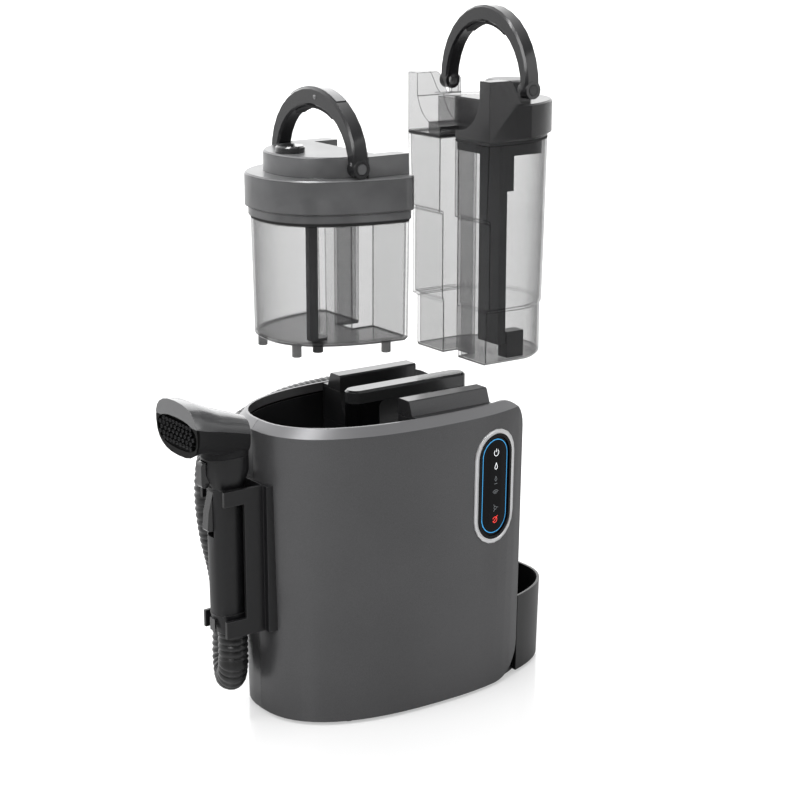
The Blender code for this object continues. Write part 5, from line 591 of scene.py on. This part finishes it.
def ring_faces(first, sides, rings):
    """Faces that join rings of vertices, from the vertex first on, with both ends closed."""
    faces = []
    for level in range(rings - 1):
        low = first + level * sides
        for k in range(sides):
            m = (k + 1) % sides
            faces.append((low + k, low + m, low + sides + m, low + sides + k))
    last = first + (rings - 1) * sides
    faces.append(tuple(range(first, first + sides)))
    faces.append(tuple(range(last, last + sides)))
    return faces


def even_turns(count):
    """The angles of a number of even steps round a circle."""
    return [2 * math.pi * k / count for k in range(count)]


def give(piece, material):
    piece.data.materials.clear()
    piece.data.materials.append(material)


def skin_y(x, z):
    """How far the body's side stands out at a place of the drawing."""
    inset = BODY_DRAFT * (WALL_TOP - z) / (WALL_TOP - WALL_FOOT)
    share = min(abs(x) / (BODY_HALF_LENGTH - inset), 1.0)
    return (BODY_HALF_WIDTH - inset) * (1.0 - share**OVAL_POWER) ** (1.0 / OVAL_POWER)


def smooth_route(points, spacing):
    """Evenly spaced points on a Catmull-Rom curve through the route, and its length."""
    places = [at(*p) for p in points]
    fine = []
    for i in range(len(places) - 1):
        before = places[max(i - 1, 0)]
        here, there = places[i], places[i + 1]
        after = places[min(i + 2, len(places) - 1)]
        for k in range(ROUTE_DIVISIONS):
            t = k / ROUTE_DIVISIONS
            fine.append(
                0.5
                * (
                    2 * here
                    + (there - before) * t
                    + (2 * before - 5 * here + 4 * there - after) * t * t
                    + (3 * here - before - 3 * there + after) * t * t * t
                )
            )
    fine.append(places[-1])
    lengths = [0.0]
    for one, two in zip(fine, fine[1:]):
        lengths.append(lengths[-1] + (two - one).length)
    count = max(int(lengths[-1] / spacing), 2)
    result, k = [], 0
    for i in range(count + 1):
        target = lengths[-1] * i / count
        while k < len(lengths) - 2 and lengths[k + 1] < target:
            k += 1
        share = (target - lengths[k]) / (lengths[k + 1] - lengths[k])
        result.append(fine[k].lerp(fine[k + 1], share))
    return result, lengths[-1]


# Materials


def node_tree(name):
    made = bpy.data.materials.new(name)
    made.use_nodes = True
    tree = made.node_tree
    return made, tree, tree.nodes["Principled BSDF"]


def edge_share(tree):
    """1 along the hard edges of a piece, 0 away from them, from how far its rounded normal turns."""
    rounded = add_node(tree, "ShaderNodeBevel", {"Radius": EDGE_REACH}, samples=EDGE_SAMPLES)
    plain = add_node(tree, "ShaderNodeNewGeometry")
    normals = {0: rounded.outputs["Normal"], 1: plain.outputs["Normal"]}
    same = add_node(tree, "ShaderNodeVectorMath", normals, operation="DOT_PRODUCT")
    return spread(tree, same.outputs["Value"], *EDGE_TURNS)


def mottled(tree, cloud, colour, vary):
    """A colour that the cloud makes darker and lighter by the share vary."""
    ramp = add_node(tree, "ShaderNodeValToRGB", {"Fac": cloud})
    for end, place, share in zip(ramp.color_ramp.elements, CLOUD_ENDS, (1 - vary, 1 + vary)):
        end.position = place
        end.color = opaque([min(c * share, 1.0) for c in colour])
    return ramp.outputs["Color"]


def flaked(tree, place, paint, flake):
    """Paint with fine flakes that are darker and lighter by the share flake."""
    speckle = noise(tree, place, FLAKE_SCALE, FLAKE_DETAIL)
    sparkle = spread(tree, speckle, *FLAKE_ENDS, 1.0 - flake, 1.0 + flake)
    inputs = {0: paint, "Scale": sparkle}
    return add_node(tree, "ShaderNodeVectorMath", inputs, operation="SCALE").outputs["Vector"]


def surface(
    name,
    colour,
    roughness,
    metallic=0.0,
    grain=0.0,
    grain_scale=GRAIN_SCALE,
    vary=VARY,
    soft_edge=SOFT_EDGE,
    coat=0.0,
    alpha=1.0,
    specular=SPECULAR,
    flake=0.0,
    band=None,
    sheer=None,
    edge_colour=None,
):
    """A moulded surface: mottled colour, uneven gloss, fine grain and softened edges.

    A band is an axis, the middle and reach along it, and the colour there, a painted highlight on some
    pieces and painted shade on others. Sheer is an axis, the place along it from which the surface is
    clearer, and its alpha there.
    """
    made, tree, shader = node_tree(name)
    place = object_place(tree)
    cloud = noise(tree, place, CLOUD_SCALE, CLOUD_DETAIL)
    paint = mottled(tree, cloud, colour, vary)
    if flake:
        paint = flaked(tree, place, paint, flake)
    if band:
        axis, middle, reach, painted_light_colour = band
        inside = near(tree, along(tree, place, axis), middle, reach)
        paint = mix(tree, inside, paint, opaque(painted_light_colour))
    # Colour along the hard edges: a painted highlight on moulded pieces and the clean lid
    if edge_colour:
        paint = mix(tree, edge_share(tree), paint, opaque(edge_colour))
    rough_low, rough_high = (roughness * share for share in GLOSS_SHARES)
    gloss = spread(tree, cloud, low=max(rough_low, GLOSS_LEAST), high=min(rough_high, 1.0))
    soft = add_node(tree, "ShaderNodeBevel", {"Radius": soft_edge}, samples=SOFT_EDGE_SAMPLES)
    normal = soft.outputs["Normal"]
    if grain:
        fine = noise(tree, place, grain_scale, GRAIN_DETAIL)
        normal = bumped(tree, fine, GRAIN_HEIGHT, normal, grain)
    if sheer:
        axis, limit, thin_alpha = sheer
        thin = spread(tree, along(tree, place, axis), limit, limit + SHEER_RUN, alpha, thin_alpha)
        alpha = calc(tree, "MAXIMUM", thin, edge_share(tree))
    fill_inputs(
        tree,
        shader,
        {
            "Base Color": paint,
            "Roughness": gloss,
            "Normal": normal,
            "Metallic": metallic,
            "Coat Weight": coat,
            "Coat Roughness": COAT_ROUGHNESS,
            "Specular IOR Level": specular,
            "Alpha": alpha,
        },
    )
    return made


def look(name):
    return surface(name, **LOOKS[name])


def clear_plastic(name, bottom, leg_alpha):
    """See-through plastic, denser where it is seen edge on, at its edges, and in its floor and legs."""
    made, tree, shader = node_tree(name)
    place = object_place(tree)
    facing = add_node(tree, "ShaderNodeLayerWeight", {"Blend": CLEAR_BLEND}).outputs["Facing"]
    edge_on = calc(tree, "POWER", facing, CLEAR_POWER)
    wall = spread(tree, edge_on, low=CLEAR_ALPHA, high=CLEAR_EDGE_ON_ALPHA)
    low = calc(tree, "LESS_THAN", along(tree, place, "Z"), bottom)
    dense = calc(tree, "MAXIMUM", wall, calc(tree, "MULTIPLY", low, leg_alpha))
    drawn = edge_share(tree)
    line = calc(tree, "MULTIPLY", drawn, EDGE_ALPHA)
    cloud = noise(tree, place, CLEAR_CLOUD_SCALE, CLEAR_CLOUD_DETAIL)
    gloss_low, gloss_high = CLEAR_GLOSS
    fill_inputs(
        tree,
        shader,
        {
            "Base Color": mix(tree, drawn, opaque(CLEAR_COLOUR), opaque(EDGE_COLOUR)),
            "Roughness": spread(tree, cloud, low=gloss_low, high=gloss_high),
            "Specular IOR Level": CLEAR_SPECULAR,
            "Alpha": calc(tree, "MAXIMUM", dense, line),
        },
    )
    return made


def panel_distance(tree):
    """How far a place of the panel is from the middle line of its long rounded form."""
    ends = {0: object_place(tree), 1: at(PANEL_X, 0, PANEL_Z)}
    centred = add_node(tree, "ShaderNodeVectorMath", ends, operation="SUBTRACT").outputs["Vector"]
    height = calc(tree, "ABSOLUTE", along(tree, centred, "Z"))
    beyond = calc(tree, "SUBTRACT", height, PANEL_HALF_HEIGHT - PANEL_HALF_WIDTH)
    offset = {"X": along(tree, centred, "X"), "Y": calc(tree, "MAXIMUM", beyond, 0.0)}
    both = {0: add_node(tree, "ShaderNodeCombineXYZ", offset).outputs["Vector"]}
    return add_node(tree, "ShaderNodeVectorMath", both, operation="LENGTH").outputs["Value"]


def ring_material():
    """Silver on the outer part of the ring, rounded across its width, and gloss black inside."""
    made = look("ring_silver")
    tree = made.node_tree
    shader = tree.nodes["Principled BSDF"]
    distance = panel_distance(tree)
    inner = PANEL_HALF_WIDTH - SILVER_WIDTH
    silver = near(tree, distance, PANEL_HALF_WIDTH - SILVER_WIDTH / 2, SILVER_WIDTH / 2)
    crown = calc(tree, "SINE", spread(tree, distance, inner, PANEL_HALF_WIDTH, 0.0, math.pi))
    silver_colour = source(shader.inputs["Base Color"])
    plain_normal = source(shader.inputs["Normal"])
    fill_inputs(
        tree,
        shader,
        {
            "Base Color": mix(tree, silver, opaque(RING_BLACK), silver_colour),
            "Metallic": calc(tree, "MULTIPLY", silver, SILVER_METALLIC),
            "Normal": bumped(tree, crown, SILVER_CROWN, plain_normal),
        },
    )
    return made


def line_material():
    """Nearly black, with a fine line of blue light."""
    made = look("blue_line")
    tree = made.node_tree
    line = near(tree, panel_distance(tree), LINE_MIDDLE, LINE_HALF_WIDTH)
    fill_inputs(
        tree,
        tree.nodes["Principled BSDF"],
        {
            "Emission Color": opaque(LINE_COLOUR),
            "Emission Strength": calc(tree, "MULTIPLY", line, LINE_POWER),
        },
    )
    return made


def hose_material():
    """Satin black on the ribs, with painted shade in the grooves between them."""
    made = look("hose_plastic")
    tree = made.node_tree
    shader = tree.nodes["Principled BSDF"]
    rib = add_node(tree, "ShaderNodeAttribute", attribute_name="rib").outputs["Fac"]
    raised = spread(tree, rib, *GROOVE_ENDS)
    # Painted shade in the grooves, giving way to the plain colour up the ribs
    paint = mix(tree, raised, opaque(GROOVE_SHADE), source(shader.inputs["Base Color"]))
    fill_inputs(tree, shader, {"Base Color": paint})
    return made


def glow(name, colour, strength):
    made, tree, shader = node_tree(name)
    fill_inputs(
        tree,
        shader,
        {
            "Base Color": opaque(colour),
            "Emission Color": opaque(colour),
            "Emission Strength": strength,
            "Roughness": ICON_ROUGHNESS,
        },
    )
    return made


def dress_nodes():
    """Give every CAD piece that stays the material of its real surface."""
    special = {
        "ring_silver": ring_material(),
        "blue_line": line_material(),
        "clean_tank_clear": clear_plastic("clean_tank_clear", CLEAN_TANK_BOTTOM, CLEAN_LEG_ALPHA),
        "dirty_tank_clear": clear_plastic("dirty_tank_clear", DIRTY_TANK_BOTTOM, DIRTY_LEG_ALPHA),
    }
    for name, pieces in WORN_BY.items():
        material = special[name] if name in special else look(name)
        for piece in pieces.split():
            give(nodes[piece], material)


# Camera, light and floor


def aim(item, target):
    item.rotation_mode = "QUATERNION"
    item.rotation_quaternion = (Vector(target) - item.location).to_track_quat("-Z", "Y")


def make_camera():
    data = bpy.data.cameras.new("camera")
    data.lens = CAMERA_LENS
    data.sensor_width = CAMERA_SENSOR
    data.clip_end = CAMERA_REACH
    camera = bpy.data.objects.new("camera", data)
    bpy.context.scene.collection.objects.link(camera)
    a, e = CAMERA_AZIMUTH, CAMERA_ELEVATION
    back = Vector((math.sin(a) * math.cos(e), -math.cos(a) * math.cos(e), math.sin(e)))
    camera.location = Vector(CAMERA_TARGET) + back * CAMERA_DISTANCE
    aim(camera, CAMERA_TARGET)
    bpy.context.scene.camera = camera


def area_light(name, place, target, size, power):
    data = bpy.data.lights.new(name, "AREA")
    data.shape = "RECTANGLE"
    data.size, data.size_y = size
    data.energy = power
    light = bpy.data.objects.new(name, data)
    bpy.context.scene.collection.objects.link(light)
    light.location = place
    aim(light, target)


def make_room():
    """The camera sees plain white; the object is lit by a room that is brighter on one side."""
    world = bpy.data.worlds.new("studio")
    world.use_nodes = True
    tree = world.node_tree
    sight = add_node(tree, "ShaderNodeTexCoord").outputs["Generated"]
    sides = {0: sight, 1: Vector(ROOM_BRIGHT_SIDE).normalized()}
    side = add_node(tree, "ShaderNodeVectorMath", sides, operation="DOT_PRODUCT").outputs["Value"]
    fall = calc(tree, "POWER", spread(tree, side, *ROOM_SIDES), ROOM_FALL)
    room = spread(tree, fall, low=ROOM_DARK, high=ROOM_BRIGHT)
    levels = {"Factor": seen_by_camera(tree), "A": room, "B": ROOM_SEEN}
    shown = add_node(tree, "ShaderNodeMix", levels, data_type="FLOAT").outputs["Result"]
    fill_inputs(tree, tree.nodes["Background"], {"Color": opaque(WHITE), "Strength": shown})
    return world


def make_floor():
    """Floor that mirrors the object softly and glows for the camera alone, so that it looks white."""
    reach = FLOOR_REACH
    floor = mesh_piece(
        "floor",
        [(-reach, -reach, 0), (reach, -reach, 0), (reach, reach, 0), (-reach, reach, 0)],
        [(0, 1, 2, 3)],
    )
    floor.location.z = -FLOOR_DROP
    made, tree, shader = node_tree("floor_white")
    fill_inputs(
        tree,
        shader,
        {
            "Base Color": opaque(FLOOR_COLOUR),
            "Roughness": FLOOR_ROUGHNESS,
            "Emission Color": opaque(WHITE),
            "Emission Strength": calc(tree, "MULTIPLY", seen_by_camera(tree), FLOOR_GLOW),
        },
    )
    give(floor, made)


def make_stage():
    bpy.context.scene.world = make_room()
    bpy.context.scene.view_settings.view_transform = "Standard"
    centre = Vector(CAMERA_TARGET)
    for name, (place, size, power) in LAMPS.items():
        area_light(name, centre + Vector(place), centre, size, power)
    make_floor()


# Hose


def tube_rings(points, radii, sides):
    """Rings of a tube along points, turned as little as possible from one to the next."""
    rings = []
    across = None
    for i, place in enumerate(points):
        ahead = (points[min(i + 1, len(points) - 1)] - points[max(i - 1, 0)]).normalized()
        if across is None:
            across = ahead.orthogonal().normalized()
        across = (across - ahead * across.dot(ahead)).normalized()
        up = ahead.cross(across)
        rings.append(
            [place + (across * math.cos(t) + up * math.sin(t)) * radii[i] for t in even_turns(sides)]
        )
    return rings


def make_hose():
    """Corrugated hose: round ribs on a slimmer core."""
    points, length = smooth_route(HOSE_ROUTE, HOSE_SPACING)
    step = length / (len(points) - 1)
    rises, radii = [], []
    for i in range(len(points)):
        wave = math.cos(2 * math.pi * i * step / HOSE_PITCH)
        rises.append(math.sqrt(0.5 - 0.5 * wave))
        radii.append(HOSE_RADIUS * (HOSE_VALLEY + (1 - HOSE_VALLEY) * rises[-1]))
    rings = tube_rings(points, radii, HOSE_SIDES)
    vertices = [v for ring in rings for v in ring]
    hose = mesh_piece("suction_hose", vertices, ring_faces(0, HOSE_SIDES, len(rings)))
    # Each ring's rise up its rib, which sets the painted shade in the grooves
    rib = hose.data.attributes.new("rib", "FLOAT", "POINT")
    rib.data.foreach_set("value", [rise for rise in rises for _ in range(HOSE_SIDES)])
    give(hose, hose_material())
    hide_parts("hose")
    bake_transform(hose)


# Brush


def add_strand(vertices, faces, u, v, du, dv):
    """One tapered bristle of the tuft at (u, v), leaning away from the tuft's middle."""
    root = len(vertices)
    ends = (
        (BRUSH_X - BRUSH_BACK / 2, 1.0, STRAND_RADIUS),
        (BRUSH_X - STRAND_LENGTH, TUFT_FLARE, STRAND_RADIUS * STRAND_TIP),
    )
    for x, flare, radius in ends:
        for turn in even_turns(STRAND_SIDES):
            across = v + dv * flare + radius * math.sin(turn)
            up = u + du * flare + radius * math.cos(turn)
            vertices.append(at(x, across, BRUSH_Z + up))
    faces.extend(ring_faces(root, STRAND_SIDES, len(ends)))


def add_tuft(vertices, faces, u, v):
    """A bristle in the middle of the tuft and a ring of others round it."""
    add_strand(vertices, faces, u, v, 0.0, 0.0)
    for turn in even_turns(TUFT_STRANDS - 1):
        add_strand(vertices, faces, u, v, TUFT_RADIUS * math.cos(turn), TUFT_RADIUS * math.sin(turn))


def make_brush():
    """Stiff tapered bristles in staggered tufts, on a slice of their backing."""
    vertices = []
    backing = (BRUSH_X, BRUSH_X - BRUSH_BACK)
    for x in backing:
        for turn in even_turns(BRUSH_SIDES):
            c, s = math.cos(turn), math.sin(turn)
            u = BRUSH_HALF_HEIGHT * math.copysign(abs(c) ** (2 / BRUSH_POWER), c)
            v = BRUSH_HALF_WIDTH * math.copysign(abs(s) ** (2 / BRUSH_POWER), s)
            vertices.append(at(x, v, BRUSH_Z + u))
    faces = ring_faces(0, BRUSH_SIDES, len(backing))
    for row in range(TUFT_ROWS):
        u = BRUSH_HALF_HEIGHT * ROWS_SHARE * (2 * (row + 0.5) / TUFT_ROWS - 1)
        share = 1 - (abs(u) / BRUSH_HALF_HEIGHT) ** BRUSH_POWER
        reach = BRUSH_HALF_WIDTH * COLUMNS_SHARE * share ** (1 / BRUSH_POWER)
        for column in range(TUFT_COLUMNS):
            v = reach * (2 * (column + TUFT_STAGGERS[row % 2]) / TUFT_COLUMNS - 1)
            add_tuft(vertices, faces, u, v)
    brush = mesh_piece("brush_tufts", vertices, faces)
    give(brush, look("bristle_black"))
    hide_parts("brush_bristles")
    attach(brush, "handset")


# Screws and inlay of the clean tank's bail


def bail_place(turn, off_middle):
    """A place of the bail's arch, turn round it and off_middle outwards from its middle line."""
    c, s = math.cos(turn), math.sin(turn)
    outward = Vector((0, BAIL_MEAN_HEIGHT * c, BAIL_MEAN_WIDTH * s)).normalized()
    return at(BAIL_X, BAIL_MEAN_WIDTH * c, BAIL_Z + BAIL_MEAN_HEIGHT * s) + outward * off_middle


def make_screw(name, centre, material):
    """A round head with a hexagonal recess, facing -X."""
    vertices = []
    for radius_share, height_share, is_hexagon in SCREW_PROFILE:
        for turn in even_turns(SCREW_SIDES):
            to_flat = (turn + HEX_STEP / 2) % HEX_STEP - HEX_STEP / 2
            radius = SCREW_RADIUS * radius_share / (math.cos(to_flat) if is_hexagon else 1.0)
            side = Vector((0, math.cos(turn), math.sin(turn))) * radius
            vertices.append(centre + side - Vector((SCREW_PROUD * height_share, 0, 0)))
    screw = mesh_piece(name, vertices, ring_faces(0, SCREW_SIDES, len(SCREW_PROFILE)))
    give(screw, material)
    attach(screw, "clean_bail")


def make_inlay():
    """The lighter strip let into the top of the bail's crown."""
    corners = ((-1, -1), (-1, 1), (1, 1), (1, -1))
    vertices = []
    for i in range(INLAY_STEPS + 1):
        turn = INLAY_START + (INLAY_END - INLAY_START) * i / INLAY_STEPS
        for out, side in corners:
            place = bail_place(turn, BAIL_CROWN / 2 + out * INLAY_PROUD)
            vertices.append(place + Vector((side * INLAY_HALF_DEPTH, 0, 0)))
    faces = ring_faces(0, len(corners), INLAY_STEPS + 1)
    inlay = mesh_piece("bail_inlay", vertices, faces)
    give(inlay, look("inlay_grey"))
    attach(inlay, "clean_bail")


def make_fastenings():
    steel = look("screw_steel")
    face = Vector((-BAIL_HALF_DEPTH, 0, 0))
    for name, turn in SCREW_TURNS.items():
        make_screw(name, bail_place(turn, 0.0) + face, steel)
    make_inlay()


# Panel icons


def skin_point(u, v, z_middle, proud):
    """A place on the panel, u along it and v up it, standing proud of the body's skin."""
    x = ICON_X + u
    z = z_middle + v
    return at(x, -skin_y(x, z) - proud, z)


def flat_icon(name, outlines, z_middle, material):
    """A printed sign as thin plates that follow the panel."""
    vertices, faces = [], []
    for outline in outlines:
        start = len(vertices)
        for proud in (ICON_BACK, ICON_PROUD):
            vertices += [skin_point(u, v, z_middle, proud) for u, v in outline]
        faces += ring_faces(start, len(outline), 2)
    icon = mesh_piece(name, vertices, faces)
    give(icon, material)
    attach(icon, "base")


def arc(radius, start, end, steps):
    """Outline of a bent line."""
    turns = [math.radians(start + (end - start) * i / steps) for i in range(steps + 1)]
    outer, inner = radius * ICON_SIZE + ICON_LINE / 2, radius * ICON_SIZE - ICON_LINE / 2
    outside = [(outer * math.cos(t), outer * math.sin(t)) for t in turns]
    inside = [(inner * math.cos(t), inner * math.sin(t)) for t in turns]
    return outside + inside[::-1]


def bar(u_start, v_start, u_end, v_end):
    """Outline of a straight line."""
    half = Vector((u_end - u_start, v_end - v_start)).normalized() * ICON_LINE / 2
    corners = ((u_start, v_start, 1), (u_end, v_end, 1), (u_end, v_end, -1), (u_start, v_start, -1))
    return [(u * ICON_SIZE - half.y * way, v * ICON_SIZE + half.x * way) for u, v, way in corners]


def spoke(inner, outer, turn):
    """Outline of a straight line that points away from the icon's middle."""
    c, s = math.cos(math.radians(turn)), math.sin(math.radians(turn))
    return bar(inner * c, inner * s, outer * c, outer * s)


def make_icons():
    lights = {name: glow(name, *light) for name, light in ICON_LIGHTS.items()}
    pens = {"arc": arc, "bar": bar, "spoke": spoke}
    for name, (height, light, strokes) in ICONS.items():
        outlines = [pens[kind](*shares) for kind, *shares in strokes]
        flat_icon(name, outlines, height, lights[light])


make_camera()
make_hose()
make_stage()
dress_nodes()
smooth_nodes()
make_brush()
make_fastenings()
make_icons()
